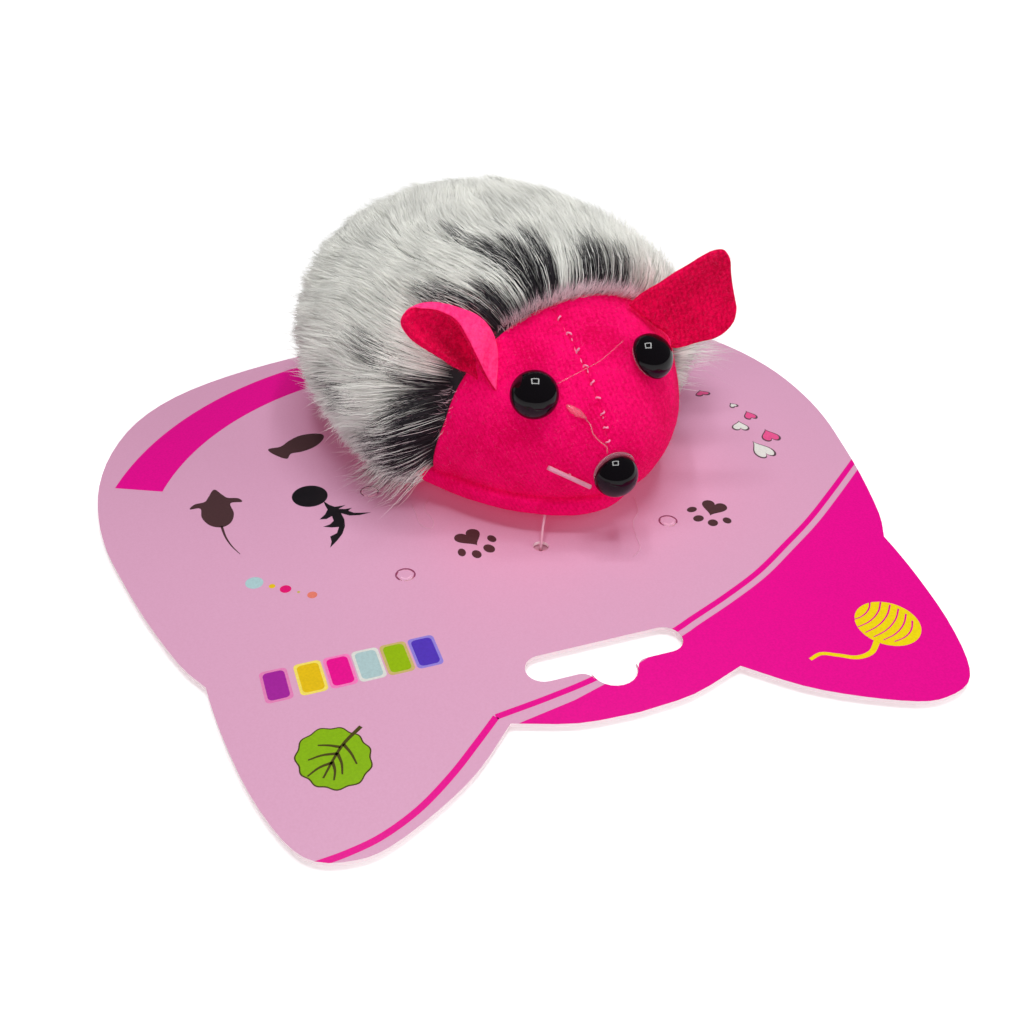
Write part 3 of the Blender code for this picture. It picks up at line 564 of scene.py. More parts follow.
# %% Dots and blocks
dots = (("pale_blue", "#a9c9cc", -59.3, 40.8, 1.8), ("yellow", "#e2bd1c", -56.1, 38.7, 0.65),
        ("magenta", "#dd0f6e", -53.7, 37.0, 1.15), ("olive", "#c3b34c", -51.4, 35.3, 0.3),
        ("coral", "#e07a68", -49.0, 33.6, 1.0))
for name, colour, x, y, radius in dots:
    print_shapes("dot_" + name, [oval(x, y, radius, radius)], 1, new_ink(name + "_ink", colour))

block_half_width, block_low, block_high, block_corner, block_line = 2.55, 7.0, 15.2, 0.9, 0.55


def block(x, grow):
    """A rounded upright block, grown or (below zero) shrunk all round."""
    half = block_half_width + grow - block_corner
    low, high = block_low - grow + block_corner, block_high + grow - block_corner
    out = []
    corners = ((half, high, 0), (-half, high, 90), (-half, low, 180), (half, low, 270))
    for across, up, start in corners:
        out += arc(x + across, up, block_corner, start, start + 90, 6)
    return out


blocks = (("purple", "#a01f98", "#e07fb4", -60.2), ("gold", "#dfb90b", "#f0dc62", -53.9),
          ("rose", "#e4008c", "#ef7cba", -48.4), ("frost", "#a9c4c6", "#d9d9d3", -43.0),
          ("lime", "#8fb400", "#c7b06d", -37.6), ("violet", "#4e33b4", "#8f7fd6", -32.1))
for name, colour, rim, x in blocks:
    print_shapes("block_rim_" + name, [block(x, 0)], 1, new_ink(name + "_rim_ink", rim))
    print_shapes("block_" + name, [block(x, -block_line)], 2, new_ink(name + "_block_ink", colour))
print("dots and blocks:", len(dots) + len(blocks))

# %% Leaf
vein_ink = new_ink("leaf_vein_ink", "#48420d")
leaf_place, leaf_half, leaf_line = (-54.0, -8.8), (6.2, 6.5), 0.28
leaf_lobes, lobe_share, lean_share, leaf_steps = 11, 0.035, 0.06, 132


def leaf_outline(grow):
    """The leaf's lobed outline, grown all round."""
    out = []
    for k in range(leaf_steps):
        turn = tau * k / leaf_steps
        reach = 1 + lobe_share * cos(leaf_lobes * turn) + lean_share * cos(2 * turn + 2.2)
        out.append((leaf_place[0] + (leaf_half[0] * reach + grow) * cos(turn),
                    leaf_place[1] + (leaf_half[1] * reach + grow) * sin(turn)))
    return out


print_shapes("leaf_rim", [leaf_outline(leaf_line)], 1, vein_ink)
print_shapes("leaf", [leaf_outline(0.0)], 2, new_ink("leaf_green_ink", "#83b003"))
side_veins = (
    ((-52.4, -6.9), (-54.2, -5.9), (-56.0, -5.3)), ((-53.3, -8.1), (-55.8, -7.7), (-58.2, -8.0)),
    ((-54.6, -9.8), (-56.8, -10.2), (-59.0, -11.4)), ((-51.8, -6.4), (-51.0, -8.8), (-50.6, -11.4)),
    ((-53.2, -8.0), (-53.0, -10.4), (-53.4, -12.8)), ((-54.4, -9.6), (-54.4, -11.6), (-55.0, -13.6)))
veins = [stroke([(-48.0, -3.4), (-51.6, -6.2), (-54.0, -9.0), (-56.6, -12.6)], 0.75, 0.35)]
veins += [stroke(vein, 0.6, 0.3) for vein in side_veins]
print_shapes("leaf_veins", veins, 3, vein_ink)
print("leaf:", len(veins), "veins")

# %% Hearts
heart_rim_ink = new_ink("heart_rim_ink", "#57404a")
heart_inks = {"white": new_ink("white_ink", "#dfe0da"), "pink": new_ink("heart_pink_ink", "#e2568f")}
heart_line = 0.4
hearts = (("white", "large", 63.9, 53.0, 5.3, 7.6, 184), ("pink", "large", 69.0, 57.9, 4.8, 5.6, 174),
          ("white", "small", 64.2, 63.9, 4.4, 4.6, 160), ("pink", "small", 68.9, 67.6, 3.5, 4.2, 176),
          ("white", "tiny", 67.2, 73.1, 2.5, 2.5, 190), ("pink", "tiny", 62.4, 80.9, 4.2, 3.0, 180))
for colour, size, x, y, wide, high, turn in hearts:
    name = f"{colour}_{size}"
    print_shapes("heart_rim_" + name, [heart(x, y, wide, high, turn)], 1, heart_rim_ink)
    inner = heart(x, y, wide - 2 * heart_line, high - 2.4 * heart_line, turn)
    print_shapes("heart_" + name, [inner], 2, heart_inks[colour])
print("hearts:", len(hearts))

# %% A ball of yarn
yarn_x, yarn_y, yarn_radius = 56.5, -9.6, 6.4
winding_across, winding_up, winding_bow, winding_reach_share = 0.87, 0.5, 1.1, 0.86
winding_start, winding_end = 0.225, 0.375
winding_offsets = (-4.4, -2.6, -0.8, 1.0, 2.8, 4.6)
thread_end = [(51.4, -13.4), (48.6, -15.6), (45.2, -15.9), (42.0, -14.2), (39.2, -12.9), (36.4, -13.6)]
ball = oval(yarn_x, yarn_y, yarn_radius, yarn_radius, steps=48)
print_shapes("yarn", [ball, stroke(thread_end, 1.2, 0.7)], 2, new_ink("yellow_ink", "#ecd60b"))
windings = []
for offset in winding_offsets:
    reach = sqrt(yarn_radius ** 2 - offset ** 2) * winding_reach_share
    wound = []
    for share in (-1, -0.5, 0, 0.5, 1):
        bowed = offset + winding_bow * share * share
        wound.append((yarn_x + reach * share * winding_across - bowed * winding_up,
                      yarn_y + reach * share * winding_up + bowed * winding_across))
    windings.append(stroke(wound, winding_start, winding_end))
print_shapes("yarn_windings", windings, 3, magenta_ink)
print("yarn:", len(windings), "windings")

# %% [markdown]
# Each perforated disc gets a dark ink line where its far edge would cast a shadow, a painted shadow,
# and a pale one in front, a painted highlight.

# %% Painted shadows and highlights at the cut edges of the discs
disc_radius, disc_inset, cut_line = 1.95, 0.8, 0.32
cut_edges = (("disc_painted_shadows", "painted_shadow_cut_edge", "#8a3f63", disc_radius, -40, 215),
             ("disc_painted_highlights", "painted_highlight_cut_edge", "#ecb9d3", disc_radius - disc_inset, 200, 330))
# The dark arcs are painted shadow and the pale ones painted highlight, printed as ink.
for name, edge, colour, radius, start, end in cut_edges:
    arcs = [stroke(arc(x, y, radius, start, end), cut_line, cut_line)
            for x in (-29.75, 29.75) for y in (33.9, 64.4)]
    print_shapes(name, arcs, 1, new_ink(edge, colour))

# %% [markdown]
# The head is two panels of felt drawn tight over the stuffing and sewn together in a shallow valley
# over the brow. Both come from one fine grid of points on the egg, which dents and swells a little
# as stuffed cloth does, cut along the seam into two pieces and given the felt's thickness. The felt
# is a short-napped velour: it takes light without shine, and its nap lies in fine slanting ribs. It
# glows a little though it is no lamp, a painted light that brightens its shaded sides. The ears and
# tail are a deeper felt of the same kind with less painted glow, and the backs of the ears are
# painted paler, a painted sheen of light grazing them.

# %% Felt
# The felt's three grains are its nap, its tufts and its brushed patches: size, detail, roughness.
felt_grains = ((0.22 * mm, 3.0, 0.7), (0.75 * mm, 2.0, 0.5), (9 * mm, 2.0, 0.5))
rib_width = 0.8 * mm
rib_scale = 0.314 / rib_width
rib_share, nap_depth = 0.14, 0.32 * mm
deepest_grain, brightest_grain = 1.28, 1.85
# These glows are painted light that brightens the felt where it lies in shade.
face_painted_glow, ear_painted_glow = 0.26, 0.10


def new_felt(name, bright, deep, rib_turn, glow):
    """Napped felt: ribs, nap and tufts in relief, patches brushed lighter and deeper."""
    # The emission is a painted glow that lifts the felt in shade.
    cloth, shader = new_finish(name, bright, 0.9, {
        "Specular IOR Level": 0.06, "Sheen Weight": 0.10, "Sheen Roughness": 0.35,
        "Sheen Tint": "#ff5f9c", "Emission Color": "#ff0052", "Emission Strength": glow})
    place = add_node(cloth, "TexCoord").outputs["Object"]
    slanted = add_node(cloth, "Mapping", {"Vector": place, "Rotation": rib_turn})
    ribs = add_node(cloth, "TexWave", {"Vector": slanted, "Scale": rib_scale, "Distortion": 3.5,
                                       "Detail": 2.0, "Detail Scale": 1.4})
    nap, tufts, patches = (add_node(cloth, "TexNoise", {
        "Vector": place, "Scale": 1 / size, "Detail": detail, "Roughness": roughness})
        for size, detail, roughness in felt_grains)
    with_ribs = add_node(cloth, "Math", {0: ribs.outputs["Fac"], 1: rib_share, 2: nap},
                         operation="MULTIPLY_ADD")
    relief = add_node(cloth, "Math", {0: with_ribs, 1: tufts}, operation="ADD")
    bump = add_node(cloth, "Bump", {"Height": relief, "Strength": 0.8, "Distance": nap_depth})
    depth = add_node(cloth, "Math", {0: relief, 1: patches}, operation="ADD")
    share = add_node(cloth, "MapRange", {
        "Value": depth, "From Min": deepest_grain, "From Max": brightest_grain})
    tone = add_node(cloth, "Mix", {"Factor": share, mix_a: deep, mix_b: bright}, data_type="RGBA")
    set_sockets(cloth, shader, {"Base Color": tone.outputs[mix_result], "Normal": bump})
    return cloth


ear_ribs = (radians(20), 0.0, radians(50))
face_ribs = (0.0, radians(35), radians(20))
pink_felt = new_felt("hot_pink_velour_felt", "#e40a69", "#b80043", face_ribs, face_painted_glow)
red_felt = new_felt("deep_pink_ear_felt", "#f0064f", "#ae002a", ear_ribs, ear_painted_glow)
# The paler, brighter back of the ear felt is a painted sheen of light grazing it.
ear_back_painted_sheen = new_felt("ear_back_felt_with_painted_sheen", "#ff4c92", "#ea2272", ear_ribs, face_painted_glow)
print("felt ribs:", rib_width / mm, "mm wide")

# %% [markdown]
# The sizes below repeat the construction's own formulas, at a finer step. The lower hem of the face
# is higher under the snout, where the sole's edge stands proud of it as a lip.

# %% Hem and rim
lip_middle_angle = radians(-18)
lip_full_left, lip_end_left, lip_full_right, lip_end_right = (radians(a) for a in (2, 38, 40, 58))
sole_edge_rear, sole_edge_front = 4.0 * mm, 5.0 * mm
sole_flat_share = 0.6
lip_proud, lip_bulge = 1.7 * mm, 0.4 * mm
gap = 0.3 * mm
collar_sweep, collar_sweep_height = 6 * mm, 25 * mm
hem_tuck, crease_closing, over_backing = 0.9 * mm, 0.8 * mm, 0.5 * mm


def lip_share(angle):
    """1 under the snout and its right cheek, 0 along the sides and rear."""
    off_middle = (angle - lip_middle_angle + pi) % tau - pi
    start, end = (lip_full_left, lip_end_left) if off_middle > 0 else (lip_full_right, lip_end_right)
    return 1 - float(eased((abs(off_middle) - start) / (end - start)))


def panel_hem(angle):
    """Height of the face's lower edge at an angle from the nose."""
    return hem_height + (crease_height - hem_height) * lip_share(angle)


def swell(points, size, height, seed):
    """How far cloth over uneven stuffing stands out at each point."""
    return np.array([noise.noise(Vector(p) / size + Vector((seed, seed, seed))) for p in points]) * height


def collar_at(x, height):
    """Where the fur begins, along Y: the collar sweeps back low on the mouse's right cheek."""
    low = eased((collar_sweep_height - height) / collar_sweep_height) * (x < egg_middle[0])
    return collar_y + collar_sweep * low


print("hem under the snout:", round(panel_hem(lip_middle_angle) / mm, 1), "mm up")

# %% The face's edge
face_rows, face_columns = ((110, 340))
halvings = 24


def face_reach(turn):
    """How far the face goes from the nose at a turn about its axis: to the collar or the hem."""
    low, high = 0.0, acos(-(collar_y + collar_sweep) / egg_front[1])
    for _ in range(halvings):
        middle = (low + high) / 2
        x = egg_front[0] * sin(middle) * cos(turn)
        height = egg_middle[2] + egg_front[2] * sin(middle) * sin(turn)
        angle = atan2(x / egg_front[0], cos(middle))
        on_face = -egg_front[1] * cos(middle) < collar_at(x + egg_middle[0], height)
        on_face = on_face and height > panel_hem(angle) - hem_tuck * lip_share(angle)
        low, high = (middle, high) if on_face else (low, middle)
    return (low + high) / 2


face_turns = np.array([tau * k / face_columns for k in range(face_columns)])
reaches = np.array([face_reach(turn) for turn in face_turns])
ring_numbers = np.arange(1, face_rows + 1)
face_points, face_facings = egg_points(reaches * ring_numbers[:, None] / face_rows, face_turns)
face_points = np.vstack([face_points, (egg_middle[0], -egg_front[1], egg_middle[2])])
face_facings = np.vstack([face_facings, (0, -1, 0)])
print("face:", round(float(np.degrees(reaches.max()))), "degrees from nose to collar")

# %% [markdown]
# The seam is a valley with a pucker at each stitch. The cloth swells over the stuffing, laps over
# the fur's backing at the collar, and turns in on itself at the hem.

# %% Seam, swell and hem
seam_depth, seam_half = 0.55 * mm, 0.75 * mm
pucker_depth, stitch_spacing = 0.22 * mm, 3.4 * mm
seam_start, seam_fade = 21 * mm, 6 * mm
lap_start, lap_length = 1 * mm, 2 * mm
hem_rows, hem_step, hem_aim_y, rows_to_edge = 3, felt * 0.5, -30 * mm, 6

from_seam = np.abs(face_points[:, 0] - seam_x)
over_brow = eased((face_points[:, 2] - seam_start) / seam_fade)
along_seam = face_points[:, 2] + face_points[:, 1] * 0.9
pulled = seam_depth + pucker_depth * np.cos(along_seam * tau / stitch_spacing)
valley = over_brow * pulled * np.exp(-(from_seam / seam_half) ** 1.3)
swollen = swell(face_points, 13 * mm, 0.4 * mm, 3.1) + swell(face_points, 4 * mm, 0.08 * mm, 8.7)
near_edge = np.repeat(eased((face_rows - ring_numbers) / rows_to_edge), face_columns)
lapped = over_backing * eased((face_points[:, 1] - collar_y + lap_start) / lap_length)
moved = swollen * np.append(near_edge, 1) + lapped - valley
face_points = face_points + face_facings * moved[:, None]

last = face_points[-1 - face_columns:-1]
inwards = unit(np.array((egg_middle[0], hem_aim_y, egg_middle[2])) - last)
turned_in = [last + inwards * hem_step * row for row in range(1, hem_rows + 1)]
face_points = np.vstack([face_points[:-1], *turned_in, face_points[-1:]])
face_grid = grid_faces(face_rows + hem_rows, face_columns, closed=True)
top = len(face_points) - 1
face_grid += [(top, (k + 1) % face_columns, k) for k in range(face_columns)]
print("face:", len(face_points), "points")

# %% Face panels
seam_gap, panel_felt = 0.04 * mm, felt * 0.6


def cut_panel(name, side, node):
    """One side of the face: its part of the grid, cut along the seam and thickened."""
    panel = make_piece(name, placed(face_points), face_grid, pink_felt, replaced=(node,))
    spot = placed(np.array([(seam_x + side * seam_gap, 0, 0)]))[0]
    facing = to_card @ np.array((-side, 0, 0))
    edit_mesh(panel, lambda bm: bmesh.ops.bisect_plane(
        bm, geom=bm.verts[:] + bm.edges[:] + bm.faces[:], plane_co=spot, plane_no=facing, clear_outer=True))
    modify(outward(panel), "SOLIDIFY", thickness=panel_felt, offset=-1)
    apply_modifiers(panel)
    return panel


face_left = cut_panel("face_felt_left", 1, "face_panel_left")
face_right = cut_panel("face_felt_right", -1, "face_panel_right")
print("panels:", len(face_left.data.vertices), "and", len(face_right.data.vertices), "points")

# %% [markdown]
# The sole is a dish of the same felt. Its edge is rolled, and under the snout it stands out past the
# face as a lip. Its section is drawn at each angle and smoothed into a round roll.

# %% Sole
sole_columns = 320
dish_shares = (0.35, 0.6, 0.75, 0.88, 0.95)


def rim_point(angle, inset, height):
    """A point on the rim's outline, inset from it, in the mouse's frame."""
    tucked = felt + lip_bulge + gap
    outset = -tucked + (lip_proud + tucked) * lip_share(angle) - inset
    rise = (panel_hem(angle) - gap - egg_middle[2]) / egg_front[2]
    share = sqrt(1 - rise * rise)
    reach = egg_front[1] if cos(angle) > 0 else egg_rear[1]
    x, y = egg_front[0] * share * sin(angle), -reach * share * cos(angle)
    out = unit(np.array((x / egg_front[0] ** 2, y / egg_front[1] ** 2)))
    return np.array((egg_middle[0] + x + out[0] * outset, y + out[1] * outset, height))


def dish_point(angle, share, edge, raised):
    """A point of the dish at a share of the way out, on its lower side or raised by the felt."""
    spot = rim_point(angle, raised, 0)
    climb = float(eased((share - sole_flat_share) / (1 - sole_flat_share))) ** 2
    return np.array((egg_middle[0] + (spot[0] - egg_middle[0]) * share, spot[1] * share,
                     gap + (edge - gap) * climb + raised))


def sole_section(angle):
    """The sole's cross-section at an angle, from its middle below, round the rim, to its middle above."""
    lip = lip_share(angle)
    edge = sole_edge_rear + (sole_edge_front - sole_edge_rear) * lip
    high = panel_hem(angle) - gap
    inner = felt + crease_closing * lip
    rim = ((lip_bulge * 0.3, edge), (-lip_bulge, edge * 0.6 + high * 0.4),
           (-lip_bulge * 0.8, edge * 0.2 + high * 0.8), (lip_bulge, high), (inner, high),
           (inner, edge + felt))
    section = [np.array((egg_middle[0], 0, gap))]
    section += [dish_point(angle, share, edge, 0) for share in dish_shares]
    section += [rim_point(angle, inset, height) for inset, height in rim]
    section += [dish_point(angle, share, edge, felt) for share in reversed(dish_shares)]
    section += [np.array((egg_middle[0], 0, gap + felt))]
    return line_through(section, 4)[1:-1]


sections = [sole_section(tau * k / sole_columns) for k in range(sole_columns)]
sole_points = np.array(sections).reshape(-1, 3)
sole_points[:, :2] += swell(sole_points, 5 * mm, 0.16 * mm, 5.5)[:, None] * 0.6
per_section = len(sections[0])
first_of_last = (sole_columns - 1) * per_section
sole_grid = grid_faces(sole_columns, per_section)
sole_grid += [(first_of_last + j, first_of_last + j + 1, j + 1, j) for j in range(per_section - 1)]
sole_grid += [tuple(range(start, sole_columns * per_section, per_section)) for start in (0, per_section - 1)]
sole = outward(make_piece("sole_felt", placed(sole_points), sole_grid, pink_felt,
                          replaced=("base_panel",)))
print("sole:", len(sole.data.vertices), "points")

# %% [markdown]
# Each ear is a flap cut from red-pink felt and sewn on by its narrow root. The solid's rows of points
# are joined by smooth curves, and the sheet is thickened with round edges. The left ear stands out
# flat. Its rows give the share of its length and its upper and lower edge in shares of its width.

# %% Left ear
ear_length, ear_width, ear_thickness, ear_lift = 21.8 * mm, 19.0 * mm, 1.3 * mm, 1.5 * mm
ear_left_rows = ((0.0, -0.15, 0.275), (0.11, -0.21, 0.40), (0.2, -0.26, 0.50), (0.3, -0.31, 0.555),
                 (0.42, -0.36, 0.575), (0.56, -0.40, 0.585), (0.7, -0.44, 0.60), (0.83, -0.45, 0.57),
                 (0.94, -0.41, 0.50), (0.99, -0.33, 0.42), (1.01, -0.24, 0.34))
ear_left_top, ear_left_low = (11.7 * mm, 41.9 * mm), (19.9 * mm, 34.2 * mm)
ear_across = 28
ear_cup, settled_share = 2.0 * mm, 0.3


def ear_directions(out, back):
    """Unit directions out along an ear and back through it, square to each other."""
    out = unit(np.array(out))
    return out, unit(np.array(back) - out * np.dot(out, back))


def left_ear_sheet():
    """The middle surface of the left ear, as rows of points."""
    top = skin_point(*ear_left_top, ear_lift)[0]
    low = skin_point(*ear_left_low, ear_lift)[0]
    root = unit(low - top)
    out, back = ear_directions((0.95, -0.20, 0.24), (0.225, 0.97, -0.075))
    down = np.cross(back, out)
    points = []
    rows = line_through(ear_left_rows, 4)
    for share, upper, lower in rows:
        settled = float(eased(share / settled_share))
        line = unit(root + (down - root) * settled)
        for j in range(ear_across + 1):
            place = 2 * j / ear_across - 1
            curl = ear_cup * ((lower - upper) * place) ** 2 * settled
            across = ear_width * ((upper + lower) / 2 + (lower - upper) / 2 * place)
            points.append((top + low) / 2 + out * ear_length * share + line * across - back * curl)
    points = np.array(points)
    return points + back * swell(points, 6 * mm, 0.35 * mm, 3.0)[:, None], len(rows)


def make_ear(name, points, row_count, body, node):
    """A felt flap with rounded edges and a back painted paler for grazing light, from the points of its
    middle surface.
    """
    flap = make_piece(name, placed(points), grid_faces(row_count, len(points) // row_count), red_felt,
                      body, replaced=(node,))
    flap.data.materials.append(ear_back_painted_sheen)
    modify(flap, "SOLIDIFY", thickness=ear_thickness, offset=0, use_even_offset=True, material_offset=1)
    modify(flap, "SUBSURF", levels=1)
    return outward(apply_modifiers(flap))


ear_left = make_ear("ear_felt_left", *left_ear_sheet(), "left_ear_flap", "ear_left")
print("left ear:", len(ear_left.data.vertices), "points")

# %% [markdown]
# The right ear is folded along its length: the narrow half in front shows the felt's lit outside as
# a band, and behind it the deep inside of the wide half lies in shade. The fold is drawn by sections
# from the root to the tip. Each goes from the rear half's free edge, over its middle and the crest,
# round the front and down to the front half's free edge. The numbers are millimetres out along the
# ear, down and forwards from the top of its root.

# %% Right ear
ear_fold = (((0, 8.5, 1.5), (1, 4.5, -1), (0, 0, -0.5), (-1.5, 3, 1.8), (-3, 9, 5)),
            ((1.5, 8, -0.5), (2.5, 4, -3.5), (3, -1.5, -1.5), (0.5, 0, 0.5), (0.3, 7, 3.5)),
            ((4.5, 8.2, -1), (6.5, 4, -3.5), (6.5, -2, -1.5), (4, -1.5, 0.5), (4, 4.5, 3)),
            ((9, 7.8, 0), (10.5, 4, -2.5), (10.5, -1.7, -1), (7.5, -1.5, 0.5), (7, 2.2, 2)),
            ((13, 7.6, 0.5), (14.5, 4, -1.5), (14, -1.1, -0.5), (11.5, -1.3, 0.5), (11, 0, 1.2)),
            ((16.2, 7.3, 0.5), (17.7, 4.2, -1), (17.3, 0, 0), (15.2, -0.6, 0.4), (15, 0, 0.8)),
            ((18.6, 6.6, 0.5), (19.5, 4.2, -0.5), (19.5, 1.6, 0), (18.2, 0.6, 0.3), (17.8, 0.8, 0.5)),
            ((20.4, 5.6, 0.3), (20.9, 4.7, 0), (20.8, 3.5, 0), (20.4, 2.5, 0.2), (20, 2, 0.3)))
ear_fold_root = (-16.6 * mm, 38.4 * mm)
fold_along, fold_round = 6, 8
fold_waver = np.array((-0.3, -0.9, 0.2))

fold_top = skin_point(*ear_fold_root, ear_thickness / 3)[0]
fold_out, fold_back = ear_directions((-0.80, 0.10, 0.60), (-0.02, 0.98, -0.19))
fold_ways = np.array((fold_out, np.cross(fold_out, fold_back), -fold_back))
fold_sections = line_through([np.ravel(section) for section in ear_fold], fold_along)
fold_points = np.array([spot for section in fold_sections
                        for spot in line_through(section.reshape(-1, 3), fold_round)])
fold_points = fold_top + fold_points @ fold_ways * mm
fold_points = fold_points + swell(fold_points, 6 * mm, 0.3 * mm, 1.0)[:, None] * fold_waver
ear_right = make_ear("ear_felt_right", fold_points, len(fold_sections), "right_ear_flap", "ear_right")
print("right ear:", len(ear_right.data.vertices), "points")

# %% [markdown]
# The tail is a strip of the same red-pink felt, tapered, rounded at its root and soft-edged. It drops
# from the seam at the rear past the card's edge and then lies level.

# %% Tail
tail_length, tail_thickness = 68.0 * mm, 2.2 * mm
tail_root_width, tail_tip_width = 7.0 * mm, 4.0 * mm
tail_steps, tail_sides, root_steps = 120, 24, 4
tail_edge_power, root_tilt = 0.45, radians(80)
tail_drop_length, tail_bend = 20 * mm, 14 * mm
tail_root = rim_point(pi, -lip_bulge, (sole_edge_rear + panel_hem(pi) - gap) / 2)
tail_root = tail_root + np.array((0, gap + tail_thickness / 2, 0))


def tail_centre(share):
    """The middle of the tail at a share of its length."""
    floor_level = -card_top + gap + tail_thickness / 2
    drop = float(eased(share * tail_length / tail_drop_length))
    return np.array((tail_bend * share ** 2, tail_root[1] + share * tail_length,
                     tail_root[2] + (floor_level - tail_root[2]) * drop))


def squared(share, half):
    """A round section's offset pushed out towards a rectangle's."""
    return np.sign(share) * abs(share) ** tail_edge_power * half


tail_points = []
for k in range(-root_steps, tail_steps + 1):
    share = max(0, k) / tail_steps
    along = unit(tail_centre(min(1, share + 0.01)) - tail_centre(max(0, share - 0.01)))
    side = unit(np.cross(along, (0, 0, 1)))
    up = np.cross(side, along)
    width = tail_root_width + (tail_tip_width - tail_root_width) * share
    left_over = (1 - share) * tail_length / (tail_tip_width / 2)
    round_off = sqrt(1 - (1 - min(1, left_over + 0.03)) ** 2)
    root_turn = max(0, -k) / root_steps * root_tilt
    middle = tail_centre(share) - np.array((0, tail_thickness / 2 * sin(root_turn), 0))
    half_width = width / 2 * round_off * (0.8 + 0.2 * cos(root_turn))
    half_height = tail_thickness / 2 * cos(root_turn) * (0.4 + 0.6 * round_off)
    for j in range(tail_sides):
        turn = tau * j / tail_sides
        across, rise = squared(cos(turn), half_width), squared(sin(turn), half_height)
        tail_points.append(middle + side * across + up * rise)
tail_grid = grid_faces(tail_steps + root_steps + 1, tail_sides, closed=True, capped=True)
tail = outward(make_piece("tail_felt", placed(tail_points), tail_grid, red_felt, "tail_strip",
                          replaced=("tail",)))
print("tail:", len(tail.data.vertices), "points")

# %% [markdown]
# Eyes and nose are half beads of black acrylic, glued on. Their polish mirrors the square ring of
# tubes. The glue is clear hot melt, a little cloudy, with a pink tint painted in for the felt seen
# through it, and it has crept out round each bead as an uneven rim.

# %% Beads
bead_black, _ = new_finish("black_acrylic_bead", "#0b080c", 0.06, {"Specular IOR Level": 0.32})
# The glue's pink is a painted tint for the felt seen through it.
clear_glue, _ = new_finish("clear_hot_glue", "#f8b3c9", 0.16, {"Transmission Weight": 0.8, "IOR": 1.48})

bead_steps, bead_sides = 22, 72
bead_turns = [tau * k / bead_sides for k in range(bead_sides)]
bead_edge = 0.25 * mm
thread_width = 0.45 * mm
glue_depth = 0.5 * mm
pad_lift = gap + thread_width / 2
bead_lift = pad_lift + glue_depth + gap


def axes_at(facing):
    """Side and up of a thing that looks along facing."""
    side = unit(np.cross((0, 0, 1), facing))
    return side, np.cross(facing, side)


def ring_points(place, facing, rings):
    """Rings of points round a facing, each of one radius or a radius for each turn, at its height."""
    side, up = axes_at(facing)
    return [place + (side * cos(turn) + up * sin(turn)) * radius + facing * height
            for radii, height in rings
            for turn, radius in zip(bead_turns, np.broadcast_to(radii, bead_sides))]


def make_bead(name, diameter, height, x, level, node):
    """A polished dome with a softly broken edge and a flat back."""
    place, facing = skin_point(x, level, bead_lift)
    radius, flat, dome = diameter / 2, diameter / 2 - bead_edge, height - bead_edge
    rings = [(flat + bead_edge * sin(radians(t)), bead_edge - bead_edge * cos(radians(t)))
             for t in (0, 22, 45, 68)]
    rings += [(radius * cos(pi / 2 * k / bead_steps), bead_edge + dome * sin(pi / 2 * k / bead_steps))
              for k in range(bead_steps)]
    points = [*ring_points(place, facing, rings), place, place + facing * height]
    grid = grid_faces(len(rings), bead_sides, closed=True)
    back, front, first = len(points) - 2, len(points) - 1, (len(rings) - 1) * bead_sides
    for k in range(bead_sides):
        after = (k + 1) % bead_sides
        grid += [(back, after, k), (front, first + k, first + after)]
    outward(make_piece(name, placed(points), grid, bead_black, replaced=(node,)))


def make_glue(name, diameter, x, level, shift, seed, node):
    """The uneven pad of glue behind a bead, shifted up from its middle."""
    place, facing = skin_point(x, level, pad_lift)
    waves = [noise.noise(Vector((cos(turn) * 1.4, sin(turn) * 1.4, seed))) for turn in bead_turns]
    radii = diameter / 2 * (1 + 0.035 * np.array(waves))
    rings = [(radii * grow, glue_depth * rise)
             for grow, rise in ((0.96, 0.0), (1.0, 0.3), (1.01, 0.6), (0.98, 0.9), (0.9, 1.0))]
    points = ring_points(place + axes_at(facing)[1] * shift, facing, rings)
    grid = grid_faces(len(rings), bead_sides, closed=True, capped=True)
    outward(make_piece(name, placed(points), grid, clear_glue, replaced=(node,)))


eye, nose = 10.0 * mm, 9.5 * mm
eye_height, nose_height = 4.6 * mm, 4.8 * mm
left_place, right_place, nose_place = (12.0 * mm, 33.6 * mm), (-14.0 * mm, 31.5 * mm), (-1.8 * mm, 16.2 * mm)
make_bead("bead_eye_left", eye, eye_height, *left_place, "eye_left")
make_bead("bead_eye_right", eye, eye_height, *right_place, "eye_right")
make_bead("bead_nose", nose, nose_height, *nose_place, "nose")
make_glue("glue_rim_left", eye - 1.2 * mm, *left_place, 0, 1.3, "eye_glue_left")
make_glue("glue_rim_right", eye - 1.2 * mm, *right_place, 0, 4.1, "eye_glue_right")
make_glue("glue_rim_nose", nose - 0.1 * mm, *nose_place, 0.6 * mm, 7.9, "nose_glue")
print("beads:", eye / mm, "and", nose / mm, "mm wide")

# %% [markdown]
# The back is long-pile plush: a knitted backing with silver fibres, dark at the root, brushed back
# from the collar. The backing is modelled as the egg's skin behind the collar, and every strand as a
# bent, tapering ribbon rooted in it, so the fur covers and shows its dark roots as the real pile
# does. Neighbouring strands lean towards a shared tip, which gives the locks, and the way they lie
# wanders slowly over the back, as on plush that has been handled. The knit is matt and as dark as the
# roots, and its darkness is also a painted shade that makes gaps in the pile look deep.

